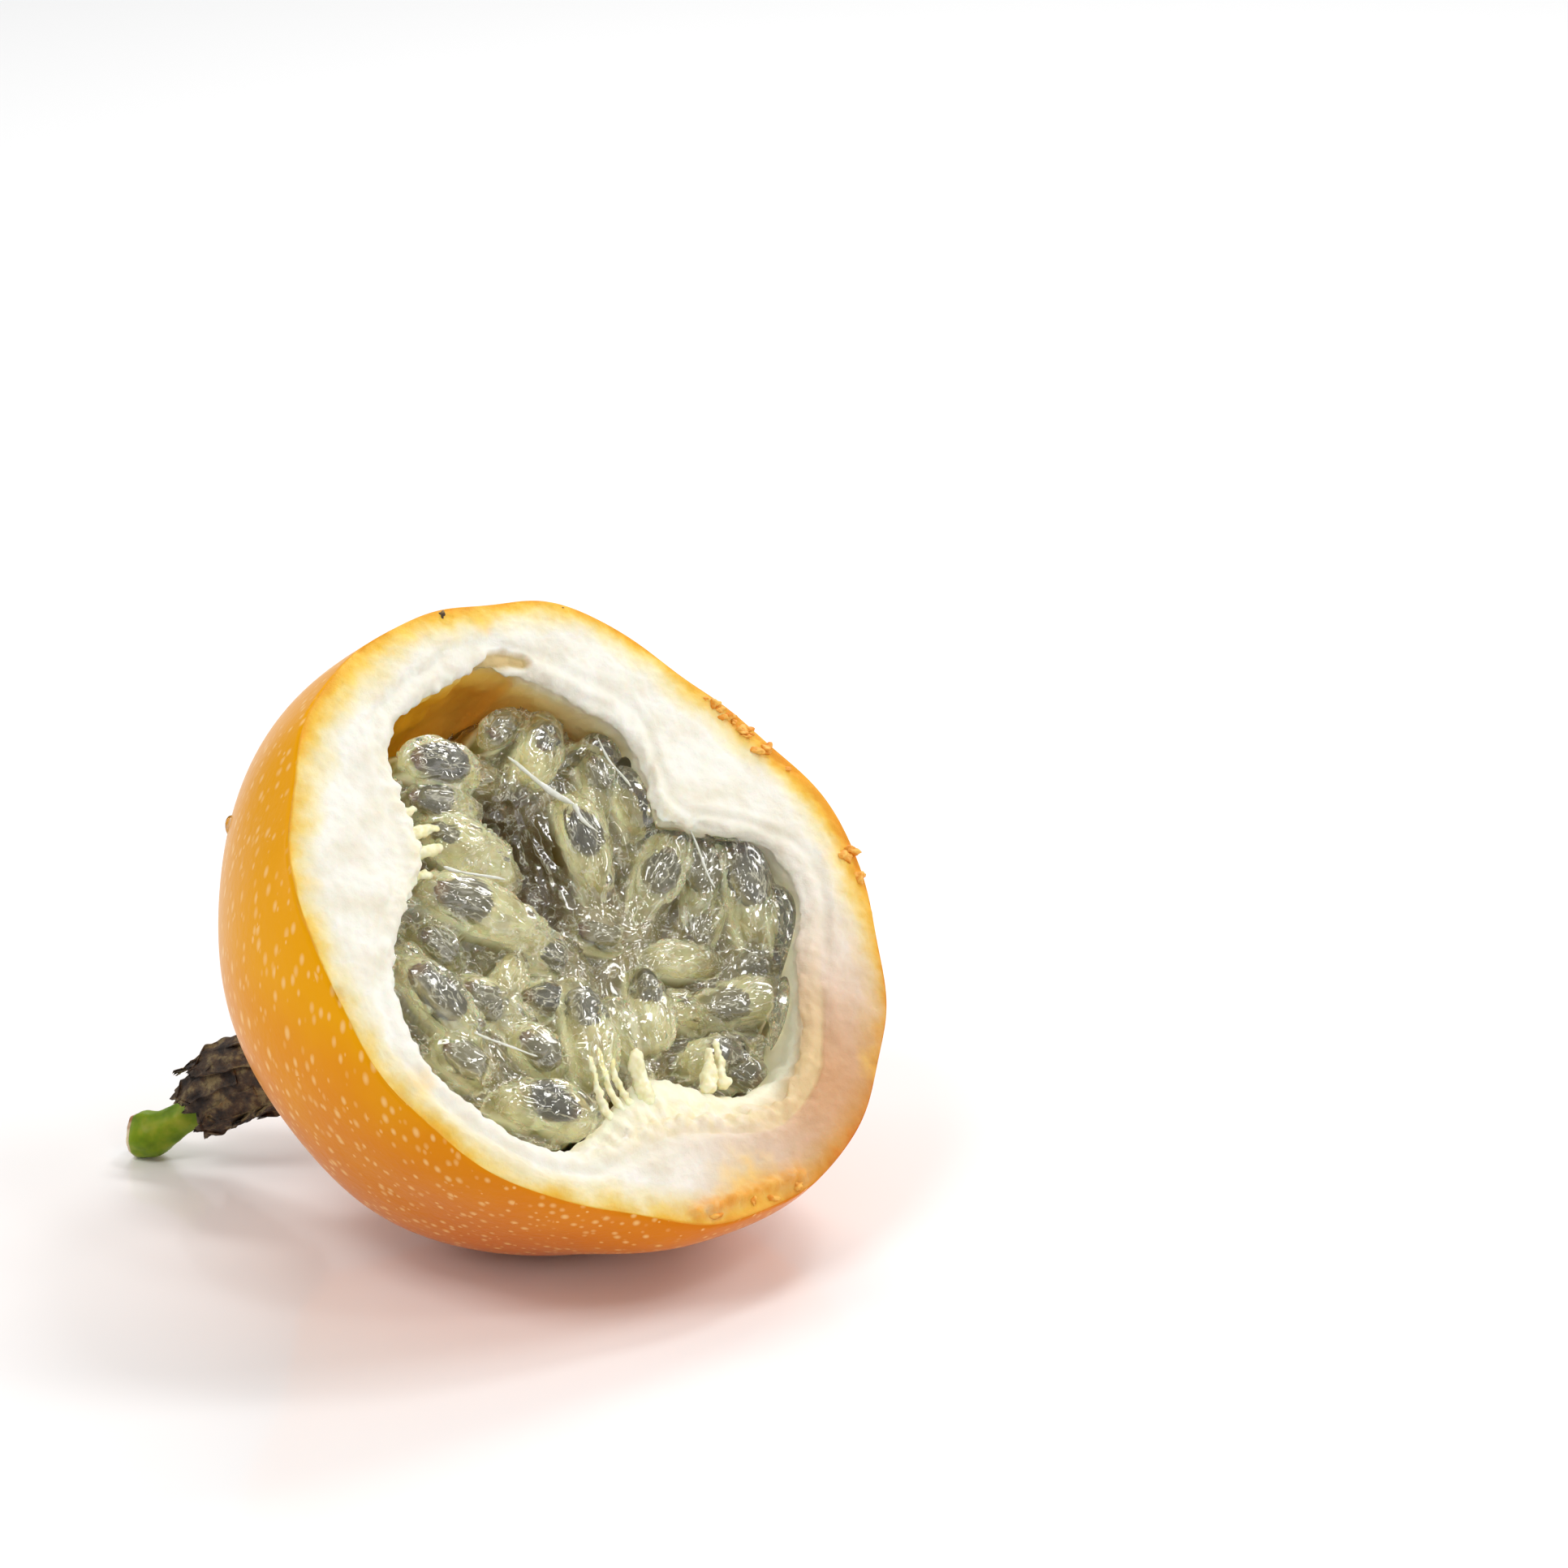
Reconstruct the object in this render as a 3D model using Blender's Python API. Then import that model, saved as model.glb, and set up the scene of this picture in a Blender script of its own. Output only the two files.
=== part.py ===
"""Half of a sweet granadilla, a kind of passion fruit, with its stem, lying on its rind.

Metres, +Z up. The origin is the middle of the small flat spot that the rind rests on, straight
below the middle of the body. The cut face looks up, to the front (-Y) and to the right (+X).
"""

import math

import bmesh
import bpy
import numpy as np

MM = 0.001

# The body: a ball, a little flatter underneath, cut a little beyond its middle.
BODY_RADIUS = 0.0343
MIDDLE_HEIGHT = 0.0325
UNDERSIDE_AZIMUTH = -45.0
UNDERSIDE_ELEVATION = -56.0
UNDERSIDE_DIP = 0.044
CUT_AZIMUTH = -45.5
CUT_ELEVATION = 41.5
CUT_OFFSET = 0.0060
STEM_AZIMUTH = 155.0
STEM_ELEVATION = -34.0

# Outlines in the cut plane: radii in millimetres at even angles, starting at the face's right.
RIM_RADII = (33.0, 30.3, 31.9, 32.4, 33.3, 33.5, 34.0, 35.0, 34.5, 35.3, 35.0, 33.6)
MOUTH_RADII = (
    22.6, 14.2, 18.6, 21.9, 24.8, 25.2, 25.2, 20.2, 19.6,
    25.2, 28.8, 29.6, 27.2, 23.3, 25.8, 26.5, 24.3, 25.1,
)

# The rind: skin and pith in one shell, with shoulders and a nub round the stem.
CAVITY_RADIUS = 0.0273
LOBE_FADE = 0.0160
SHOULDER_DIP = 0.085
SHOULDER_ANGLE = 22.0
SHOULDER_SPREAD = 14.0
NUB_RISE = 0.055
NUB_SPREAD = 6.0
RIM_BLEND = 0.70
RIM_UNEVENNESS = 0.00025
SKIN_UNEVENNESS = 0.00025
LIP_DEPTH = 0.0012
LIP_BAND = 0.0022
PITH_SWELL = 0.0005

# Seed-bearing tissue: a slope of pith below the mouth's lower edge, into the cavity.
SLOPE_ANGLE = 266.0
SLOPE_SPREAD = 27.0
SLOPE_REACH = 0.0060
SLOPE_DEPTH = 0.0042
SLOPE_FADE = 0.0110

# The pulp: a core of gel that sinks into the cavity, with the seed sacs on it.
PULP_GAP = 0.0006
SAC_GAP = 0.00035
CORE_DEPTH = 0.0085
CORE_SEAT = 0.0008
CORE_SLOPE = 1.1
CORE_BEVEL = 0.0006
SAC_TAIL = 0.62
SAC_FLATNESS = 0.86
SAC_DROOP = 0.0020
GUARD_HEIGHT = 0.0040

# Pits in the gel, a well between the sacs and a hollow under the upper lip, in millimetres in the
# cut plane: start x, y, end x, y, added depth, width.
PITS = (
    (-3.0, 11.8, -4.4, 1.0, 7.5, 3.7),
    (-9.0, 22.3, 1.5, 24.3, 8.5, 3.4),
)

# Seed sacs, and gel without a seed at the wall, in millimetres in the cut plane: start x, y,
# end x, y, depth of the middle, width.
SEED_SACS = (
    (-12.6, 19.5, -2.5, 15.6, 1.5, 5.7),
    (-12.9, 16.0, -3.7, 12.5, 3.0, 4.7),
    (0.3, 19.3, 7.8, 21.8, 5.0, 4.4),
    (2.6, 13.6, 11.0, 20.9, 4.2, 5.5),
    (-12.1, 13.3, -2.9, 4.1, 4.0, 7.4),
    (16.5, 14.9, 10.1, 15.1, 5.0, 4.9),
    (12.1, 5.1, 15.6, 13.8, 3.5, 5.7),
    (11.5, 14.8, 10.4, 7.2, 4.2, 4.7),
    (6.1, 11.6, 4.6, -0.7, 3.8, 6.3),
    (18.0, 5.1, 7.7, -2.9, 4.2, 5.9),
    (20.4, 4.4, 14.8, -5.8, 4.5, 4.8),
    (23.0, 3.4, 19.9, -10.7, 3.8, 6.5),
    (25.8, 1.7, 24.8, -8.1, 5.5, 4.7),
    (19.1, -2.7, 12.9, -7.9, 6.6, 4.9),
    (-16.8, 7.0, -3.5, -2.6, 2.6, 7.1),
    (-18.1, 4.2, -13.4, -2.0, 5.0, 5.1),
    (-22.5, 0.6, -17.7, -10.8, 2.8, 5.9),
    (-17.0, -2.5, -8.8, -11.8, 5.0, 5.9),
    (-22.4, -7.4, -16.8, -14.1, 4.6, 5.3),
    (-8.0, -17.3, -2.5, -5.6, 3.8, 6.7),
    (-13.4, -9.0, -9.4, -15.6, 4.2, 5.5),
    (-10.4, -21.1, -17.0, -13.7, 3.8, 6.3),
    (1.1, -16.2, 6.3, -6.6, 4.6, 5.9),
    (21.5, -14.9, 8.1, -12.8, 5.8, 5.7),
    (4.9, -17.9, 15.7, -18.6, 5.8, 4.9),
    (13.8, -22.7, 9.4, -17.6, 6.6, 4.9),
    (1.0, -1.0, 10.6, -5.2, 7.0, 5.5),
    (-7.0, -0.7, -0.8, -5.4, 5.6, 6.3),
    (24.1, -11.3, 15.0, -10.0, 6.6, 5.1),
    (-9.0, -5.5, -2.0, -9.5, 6.8, 6.1),
    (22.8, 5.2, 24.6, -5.0, 3.4, 5.0),
    (24.4, -4.0, 22.6, -15.0, 4.0, 5.4),
    (21.6, -14.0, 17.0, -20.0, 4.6, 5.0),
    (-19.0, -14.5, -13.0, -19.5, 4.4, 4.6),
)

# The withered flower base and the cut stem: middles of cross-sections in millimetres.
SLEEVE_PATH = (
    (-27.3, 12.7, 12.25),
    (-29.9, 13.3, 11.2),
    (-32.9, 14.0, 9.85),
    (-35.6, 14.7, 8.1),
    (-37.7, 15.2, 6.5),
)
SLEEVE_RADII = (2.9, 3.25, 3.35, 3.2, 3.05)
SLEEVE_FOLDS = 0.00030
SLEEVE_TEETH = 0.00055
SLEEVE_SLANT = 0.00060
SLEEVE_SOCKET = 0.0011
SOCKET_RADIUS = 0.00235
SOCKET_DISH = 0.0003
SOCKET_TAPER = 0.97
STEM_PATH = (
    (-37.4, 15.1, 6.75),
    (-38.9, 15.5, 5.3),
    (-40.2, 15.8, 4.35),
    (-41.5, 16.1, 3.45),
    (-42.8, 16.45, 2.75),
    (-44.1, 16.75, 2.45),
    (-45.0, 17.0, 2.4),
)
STEM_WIDTHS = (1.65, 1.65, 1.70, 1.95, 2.40, 2.38, 2.05)

# Fineness of the meshes, and how far their rings crowd towards the stem, the rim or the mouth.
SKIN_SEGMENTS = 72
SKIN_RINGS = 17
SKIN_SPACING = 1.35
FACE_RINGS = 5
FACE_SPACING = 1.4
CAVITY_RINGS = 10
WALL_SPACING = 1.3
GUARD_TOP_RINGS = 3
LEAST_RADIUS = 0.0004
CORE_SEGMENTS = 54
CORE_TOP_RINGS = 12
CORE_SIDE_RINGS = 7
SAC_SEGMENTS = 10
SAC_RINGS = 7
SLEEVE_SEGMENTS = 22


def direction(azimuth, elevation):
    """Unit vector at these angles in degrees."""
    azimuth, elevation = math.radians(azimuth), math.radians(elevation)
    level = math.cos(elevation)
    return np.array([level * math.cos(azimuth), level * math.sin(azimuth), math.sin(elevation)])


def unit(vector):
    return vector / np.linalg.norm(vector)


MIDDLE = np.array([0.0, 0.0, MIDDLE_HEIGHT])
CUT_NORMAL = direction(CUT_AZIMUTH, CUT_ELEVATION)
CUT_MIDDLE = MIDDLE + CUT_OFFSET * CUT_NORMAL
FACE_RIGHT = unit(np.cross([0.0, 0.0, 1.0], CUT_NORMAL))
FACE_UP = np.cross(CUT_NORMAL, FACE_RIGHT)
STEM_AXIS = direction(STEM_AZIMUTH, STEM_ELEVATION)
UNDERSIDE = direction(UNDERSIDE_AZIMUTH, UNDERSIDE_ELEVATION)


def bell(distance, spread):
    return math.exp(-((distance / spread) ** 2))


def ease(value):
    """Smooth step from 0 to 1 as the value goes from 0 to 1."""
    value = min(1.0, max(0.0, value))
    return value * value * (3 - 2 * value)


def closed_curve(radii, theta):
    """Smooth closed outline in metres through radii at even angles, as a sum of waves."""
    count = len(radii)
    waves = np.fft.rfft(radii) / count
    total = waves[0].real
    for turn in range(1, len(waves)):
        share = 1 if 2 * turn == count else 2
        total += share * (waves[turn] * np.exp(1j * turn * theta)).real
    return total * MM


def angle_gap(theta, degrees):
    """Distance in degrees between an angle and a direction in the cut plane."""
    return math.degrees(abs((theta - math.radians(degrees) + math.pi) % (2 * math.pi) - math.pi))


def rim_radius(theta):
    ripple = math.sin(7 * theta + 0.7) + 0.7 * math.sin(11 * theta + 2.1) + 0.4 * math.sin(17 * theta)
    return closed_curve(RIM_RADII, theta) + RIM_UNEVENNESS * ripple


def mouth_radius(theta):
    return closed_curve(MOUTH_RADII, theta)


def face_point(x, y, depth):
    """Point at x, y in the cut plane and this far below it."""
    return CUT_MIDDLE + x * FACE_RIGHT + y * FACE_UP - depth * CUT_NORMAL


def polar_point(theta, radius, depth):
    return face_point(radius * math.cos(theta), radius * math.sin(theta), depth)


def mapped_sphere(name, segments, rings, place):
    """Closed mesh object: a UV sphere whose every vertex is moved to place(theta, ring)."""
    sphere = bmesh.new()
    bmesh.ops.create_uvsphere(sphere, u_segments=segments, v_segments=rings, radius=1)
    for vertex in sphere.verts:
        ring = round(math.acos(max(-1.0, min(1.0, vertex.co.z))) / math.pi * rings)
        vertex.co = place(math.atan2(vertex.co.y, vertex.co.x), ring)
    if sphere.calc_volume(signed=True) < 0:
        bmesh.ops.reverse_faces(sphere, faces=sphere.faces)
    mesh = bpy.data.meshes.new(name)
    sphere.to_mesh(mesh)
    sphere.free()
    mesh.shade_smooth()
    return bpy.data.objects.new(name, mesh)


def skin_point(theta, share):
    """Point of the skin on the arc from the stem, share 0, to the rim, share 1."""
    to_rim = polar_point(theta, rim_radius(theta), 0) - MIDDLE
    reach = np.linalg.norm(to_rim)
    span = math.acos(float(STEM_AXIS @ to_rim) / reach)
    away = math.sin((1 - share) * span) * STEM_AXIS + math.sin(share * span) * to_rim / reach
    degrees = math.degrees(share * span)
    shoulder = SHOULDER_DIP * bell(degrees - SHOULDER_ANGLE, SHOULDER_SPREAD)
    nub = NUB_RISE * bell(degrees, NUB_SPREAD)
    underside = UNDERSIDE_DIP * max(0.0, float(unit(away) @ UNDERSIDE)) ** 2
    radius = BODY_RADIUS * (1 - shoulder + nub - underside)
    swell = math.sin(3 * theta + 5 * share) + math.sin(5 * theta - 4 * share + 1.3)
    radius += SKIN_UNEVENNESS * swell * math.sin(math.pi * share)
    radius += (reach - BODY_RADIUS * (1 - underside)) * ease((share - RIM_BLEND) / (1 - RIM_BLEND))
    point = MIDDLE + radius * unit(away)
    point[2] = max(0.0, point[2])
    return point


def cavity_radius(theta, depth):
    """Radius of the cavity's wall this far below the cut plane."""
    below_middle = depth - CUT_OFFSET
    ball = math.sqrt(max(0.0, CAVITY_RADIUS**2 - below_middle**2))
    at_mouth = math.sqrt(CAVITY_RADIUS**2 - CUT_OFFSET**2)
    lobes = (mouth_radius(theta) - at_mouth) * bell(depth, LOBE_FADE)
    slope = SLOPE_REACH * bell(angle_gap(theta, SLOPE_ANGLE), SLOPE_SPREAD) * ease(depth / SLOPE_DEPTH)
    slope *= bell(max(0.0, depth - SLOPE_DEPTH), SLOPE_FADE)
    return ball + (lobes - slope) * min(1.0, ball / at_mouth)


def wall_point(theta, start_depth, share, gap):
    """Point on the cavity's wall, or this gap inside it, from start_depth to the bottom."""
    floor_depth = CUT_OFFSET + CAVITY_RADIUS - gap
    depth = start_depth + (floor_depth - start_depth) * math.sin(share**WALL_SPACING * math.pi / 2)
    if share == 1:
        return face_point(0, 0, floor_depth)
    return polar_point(theta, max(LEAST_RADIUS, cavity_radius(theta, depth) - gap), depth)


def peel_point(theta, ring):
    """Skin from the stem to the rim, then the cut face to the mouth, then the cavity's wall."""
    if ring <= SKIN_RINGS:
        return skin_point(theta, (ring / SKIN_RINGS) ** SKIN_SPACING)
    rim, mouth = rim_radius(theta), mouth_radius(theta)
    if ring <= SKIN_RINGS + FACE_RINGS:
        share = (ring - SKIN_RINGS) / FACE_RINGS
        inner = rim - (rim - mouth - LIP_BAND) * share**FACE_SPACING
        swell = PITH_SWELL * math.sin(math.pi * share)
        return polar_point(theta, inner, -swell * (1 + math.sin(7 * theta) * math.sin(2 * ring)) / 2)
    share = (ring - SKIN_RINGS - FACE_RINGS - 1) / CAVITY_RINGS
    return wall_point(theta, LIP_DEPTH, share, 0)


def distance_to_line(point, start, end):
    """Distance in the plane from a point to the straight line between two others."""
    line = np.subtract(end, start)
    share = np.dot(np.subtract(point, start), line) / np.dot(line, line)
    return math.dist(point, start + min(1.0, max(0.0, share)) * line)


def core_depth(x, y):
    """Depth of the gel's top below the cut plane: it carries every sac, and has its pits."""
    depth = CORE_DEPTH
    for row in SEED_SACS:
        start_x, start_y, end_x, end_y, sac_depth, width = (value * MM for value in row)
        clear = distance_to_line((x, y), (start_x, start_y), (end_x, end_y)) - width / 4
        depth = min(depth, sac_depth + CORE_SEAT + CORE_SLOPE * max(0.0, clear))
    for row in PITS:
        start_x, start_y, end_x, end_y, added, width = (value * MM for value in row)
        depth += added * bell(distance_to_line((x, y), (start_x, start_y), (end_x, end_y)), width)
    return depth


def core_point(theta, ring):
    """Top of the gel from its middle to its edge, then its side down to the bottom."""
    edge = cavity_radius(theta, CORE_DEPTH) - PULP_GAP
    if ring < CORE_TOP_RINGS:
        radius = edge * ring / CORE_TOP_RINGS
        return polar_point(theta, radius, core_depth(radius * math.cos(theta), radius * math.sin(theta)))
    depth = core_depth(edge * math.cos(theta), edge * math.sin(theta))
    if ring == CORE_TOP_RINGS:
        return polar_point(theta, cavity_radius(theta, depth) - PULP_GAP - CORE_BEVEL, depth)
    share = (ring - CORE_TOP_RINGS - 1) / CORE_SIDE_RINGS
    return wall_point(theta, depth + 2 * CORE_BEVEL, share, PULP_GAP)


def guard_point(theta, ring):
    """Space that the pulp may take: the cavity less a gap, and a little above the mouth."""
    if ring == 0:
        return face_point(0, 0, -GUARD_HEIGHT)
    if ring == 1:
        return polar_point(theta, mouth_radius(theta) - 2 * LIP_BAND, -GUARD_HEIGHT)
    if ring == 2:
        return polar_point(theta, mouth_radius(theta) - SAC_GAP, -GUARD_HEIGHT / 2)
    return wall_point(theta, LIP_DEPTH, (ring - GUARD_TOP_RINGS) / (CAVITY_RINGS + 1), SAC_GAP)


def sac_object(number, start_x, start_y, end_x, end_y, depth, width):
    """Seed sac: a drop whose thick end lies at its start and whose tail sinks a little."""
    start = np.array([start_x, start_y]) * MM
    end = np.array([end_x, end_y]) * MM
    length = np.linalg.norm(end - start)
    along = (end - start) / length
    side = np.array([-along[1], along[0]])

    def place(theta, ring):
        turn = math.pi * ring / SAC_RINGS
        share = (1 - math.cos(turn)) / 2
        radius = width * MM / 2 * math.sin(turn) * (1 - (1 - SAC_TAIL) * share)
        x, y = start + share * length * along + radius * math.cos(theta) * side
        sunk = depth * MM + SAC_DROOP * (2 * share - 1) * share
        return face_point(x, y, sunk - SAC_FLATNESS * radius * math.sin(theta))

    return mapped_sphere(f"sac_{number:02d}", SAC_SEGMENTS, SAC_RINGS, place)


def path_frame(path, index):
    """Middle, forward, side and up of a path of points at this index."""
    points = np.array(path) * MM
    forward = unit(points[min(index + 1, len(points) - 1)] - points[max(index - 1, 0)])
    side = unit(np.cross([0.0, 0.0, 1.0], forward))
    return points[index], forward, side, np.cross(forward, side)


def sleeve_point(theta, ring):
    """Withered flower base: a folded tube with a toothed end and a socket for the stem."""
    last = len(SLEEVE_PATH) - 1
    index = min(max(ring - 1, 0), last)
    middle, forward, side, up = path_frame(SLEEVE_PATH, index)
    folds = SLEEVE_FOLDS * (math.sin(5 * theta + ring) + 0.6 * math.sin(8 * theta - 2 * ring))
    radius = SLEEVE_RADII[index] * MM + folds
    forward_by = 0.0
    if ring == 0:
        radius = 0.0
    elif ring == last + 1:
        forward_by = SLEEVE_TEETH * math.sin(6 * theta + 0.5) + SLEEVE_SLANT * math.sin(theta)
    elif ring == last + 2:
        radius = SOCKET_RADIUS
        forward_by = -SOCKET_DISH
    elif ring == last + 3:
        radius = SOCKET_RADIUS * SOCKET_TAPER
        forward_by = -SLEEVE_SOCKET
    elif ring > last + 3:
        radius = 0.0
        forward_by = -SLEEVE_SOCKET
    return middle + forward_by * forward + radius * (math.cos(theta) * side + math.sin(theta) * up)


def stem_curve():
    """Cut stem: a tube that bends down to the surface and swells at its cut end."""
    curve = bpy.data.curves.new("stem_curve", "CURVE")
    curve.dimensions = "3D"
    curve.bevel_depth = MM
    curve.bevel_resolution = 3
    curve.use_fill_caps = True
    spline = curve.splines.new("POLY")
    spline.points.add(len(STEM_PATH) - 1)
    for point, place, width in zip(spline.points, STEM_PATH, STEM_WIDTHS):
        point.co = (*(np.array(place) * MM), 1)
        point.radius = width
    return bpy.data.objects.new("stem", curve)


def apply_boolean(target, operation, operand):
    """Booleans target with an object or a whole collection, then makes the result its mesh."""
    cut = target.modifiers.new(operation.lower(), "BOOLEAN")
    cut.operation = operation
    cut.solver = "MANIFOLD"
    if isinstance(operand, bpy.types.Collection):
        cut.operand_type = "COLLECTION"
        cut.collection = operand
    else:
        cut.object = operand
    bpy.context.view_layer.update()
    evaluated = target.evaluated_get(bpy.context.evaluated_depsgraph_get())
    mesh = bpy.data.meshes.new_from_object(evaluated)
    target.modifiers.clear()
    target.data = mesh


def keep_largest_piece(target):
    """Drops loose scraps, so that the pulp is one body."""
    whole = bmesh.new()
    whole.from_mesh(target.data)
    left = set(whole.verts)
    pieces = []
    while left:
        piece = {left.pop()}
        edge = list(piece)
        while edge:
            near = {other for vertex in edge for link in vertex.link_edges for other in link.verts}
            edge = list(near - piece)
            piece.update(edge)
        left -= piece
        pieces.append(piece)
    pieces.sort(key=len)
    for piece in pieces[:-1]:
        bmesh.ops.delete(whole, geom=list(piece), context="VERTS")
    whole.to_mesh(target.data)
    whole.free()


def make_pulp(parts, cutters):
    """Gel core with the seed sacs fused on, trimmed clear of the cavity's wall."""
    rings = CORE_TOP_RINGS + CORE_SIDE_RINGS + 1
    pulp = mapped_sphere("pulp", CORE_SEGMENTS, rings, core_point)
    parts.objects.link(pulp)
    for number, row in enumerate(SEED_SACS, 1):
        cutters.objects.link(sac_object(number, *row))
    apply_boolean(pulp, "UNION", cutters)
    for sac in list(cutters.objects):
        bpy.data.objects.remove(sac)
    rings = GUARD_TOP_RINGS + CAVITY_RINGS + 1
    guard = mapped_sphere("cavity_space", SKIN_SEGMENTS, rings, guard_point)
    cutters.objects.link(guard)
    apply_boolean(pulp, "INTERSECT", guard)
    bpy.data.objects.remove(guard)
    keep_largest_piece(pulp)
    pulp.data.shade_smooth()
    pulp.data.set_sharp_from_angle(angle=math.radians(50))
    return pulp


def material(name, colour, roughness):
    """Principled material with a plain colour, not metal."""
    made = bpy.data.materials.new(name)
    made.use_nodes = True
    shader = made.node_tree.nodes["Principled BSDF"]
    shader.inputs["Base Color"].default_value = (*colour, 1)
    shader.inputs["Roughness"].default_value = roughness
    shader.inputs["Metallic"].default_value = 0
    made.diffuse_color = (*colour, 1)
    return made


def clear_scene():
    for thing in list(bpy.data.objects):
        bpy.data.objects.remove(thing)


def new_collection(name):
    collection = bpy.data.collections.new(name)
    bpy.context.scene.collection.children.link(collection)
    return collection


def build():
    clear_scene()
    parts = new_collection("passion_fruit_half")
    cutters = new_collection("cutters")
    peel = mapped_sphere("peel", SKIN_SEGMENTS, SKIN_RINGS + FACE_RINGS + 1 + CAVITY_RINGS, peel_point)
    peel.data.materials.append(material("orange_rind", (0.80, 0.31, 0.03), 0.35))
    pulp = make_pulp(parts, cutters)
    pulp.data.materials.append(material("seed_gel", (0.36, 0.37, 0.24), 0.12))
    sleeve = mapped_sphere("dried_calyx", SLEEVE_SEGMENTS, len(SLEEVE_PATH) + 4, sleeve_point)
    sleeve.data.materials.append(material("withered_brown", (0.09, 0.05, 0.03), 0.85))
    stem = stem_curve()
    stem.data.materials.append(material("stem_green", (0.20, 0.38, 0.04), 0.45))
    for piece in (peel, sleeve, stem):
        parts.objects.link(piece)
    bpy.data.collections.remove(cutters)


build()
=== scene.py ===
"""Looks of a cut sweet granadilla half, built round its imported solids.

Metres, +Z up, in the frame of the solids: the rind rests on the floor at the origin, and the cut
face looks up, to the front (-Y) and to the right (+X).
"""

import math
import random

import bmesh
import bpy
import numpy as np
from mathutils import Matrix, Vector, noise


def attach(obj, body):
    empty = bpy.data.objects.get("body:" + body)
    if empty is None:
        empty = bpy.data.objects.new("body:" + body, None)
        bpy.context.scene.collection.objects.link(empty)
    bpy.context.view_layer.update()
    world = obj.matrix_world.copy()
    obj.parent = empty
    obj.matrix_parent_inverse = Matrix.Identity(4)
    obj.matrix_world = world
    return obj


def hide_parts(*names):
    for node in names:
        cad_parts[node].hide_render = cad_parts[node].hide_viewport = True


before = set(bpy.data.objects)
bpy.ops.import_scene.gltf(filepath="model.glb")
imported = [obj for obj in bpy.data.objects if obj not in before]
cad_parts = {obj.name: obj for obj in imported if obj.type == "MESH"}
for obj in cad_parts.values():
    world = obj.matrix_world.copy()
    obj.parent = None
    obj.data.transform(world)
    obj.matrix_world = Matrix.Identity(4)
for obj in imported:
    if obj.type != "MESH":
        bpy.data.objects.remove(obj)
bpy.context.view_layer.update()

MM = 0.001

# The body, as the solids have it.
BODY_RADIUS = 0.0343
MIDDLE_HEIGHT = 0.0325
UNDERSIDE_AZIMUTH = -45.0
UNDERSIDE_ELEVATION = -56.0
UNDERSIDE_DIP = 0.044
CUT_AZIMUTH = -45.5
CUT_ELEVATION = 41.5
CUT_OFFSET = 0.0060
STEM_AZIMUTH = 155.0
STEM_ELEVATION = -34.0
RIM_RADII = (33.0, 30.3, 31.9, 32.4, 33.3, 33.5, 34.0, 35.0, 34.5, 35.3, 35.0, 33.6)
MOUTH_RADII = (
    22.6, 14.2, 18.6, 21.9, 24.8, 25.2, 25.2, 20.2, 19.6,
    25.2, 28.8, 29.6, 27.2, 23.3, 25.8, 26.5, 24.3, 25.1,
)
CAVITY_RADIUS = 0.0273
LOBE_FADE = 0.0160
SHOULDER_DIP = 0.085
SHOULDER_ANGLE = 22.0
SHOULDER_SPREAD = 14.0
NUB_RISE = 0.055
NUB_SPREAD = 6.0
RIM_BLEND = 0.70
RIM_UNEVENNESS = 0.00025
SKIN_UNEVENNESS = 0.00025
LIP_DEPTH = 0.0012
LIP_BAND = 0.0022
FACE_CROWN = 0.0003
SLOPE_ANGLE = 266.0
SLOPE_SPREAD = 27.0
SLOPE_REACH = 0.0060
SLOPE_DEPTH = 0.0042
SLOPE_FADE = 0.0110

# The pulp, as the solids have it: the core's depth below the cut, its pits, and its seed sacs.
CORE_DEPTH = 0.0085
CORE_SEAT = 0.0008
CORE_SLOPE = 1.1
PITS = (
    (-3.0, 11.8, -4.4, 1.0, 7.5, 3.7),
    (-9.0, 22.3, 1.5, 24.3, 8.5, 3.4),
)
SAC_TAIL = 0.62
SAC_FLATNESS = 0.86
SAC_DROOP = 0.0020
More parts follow.
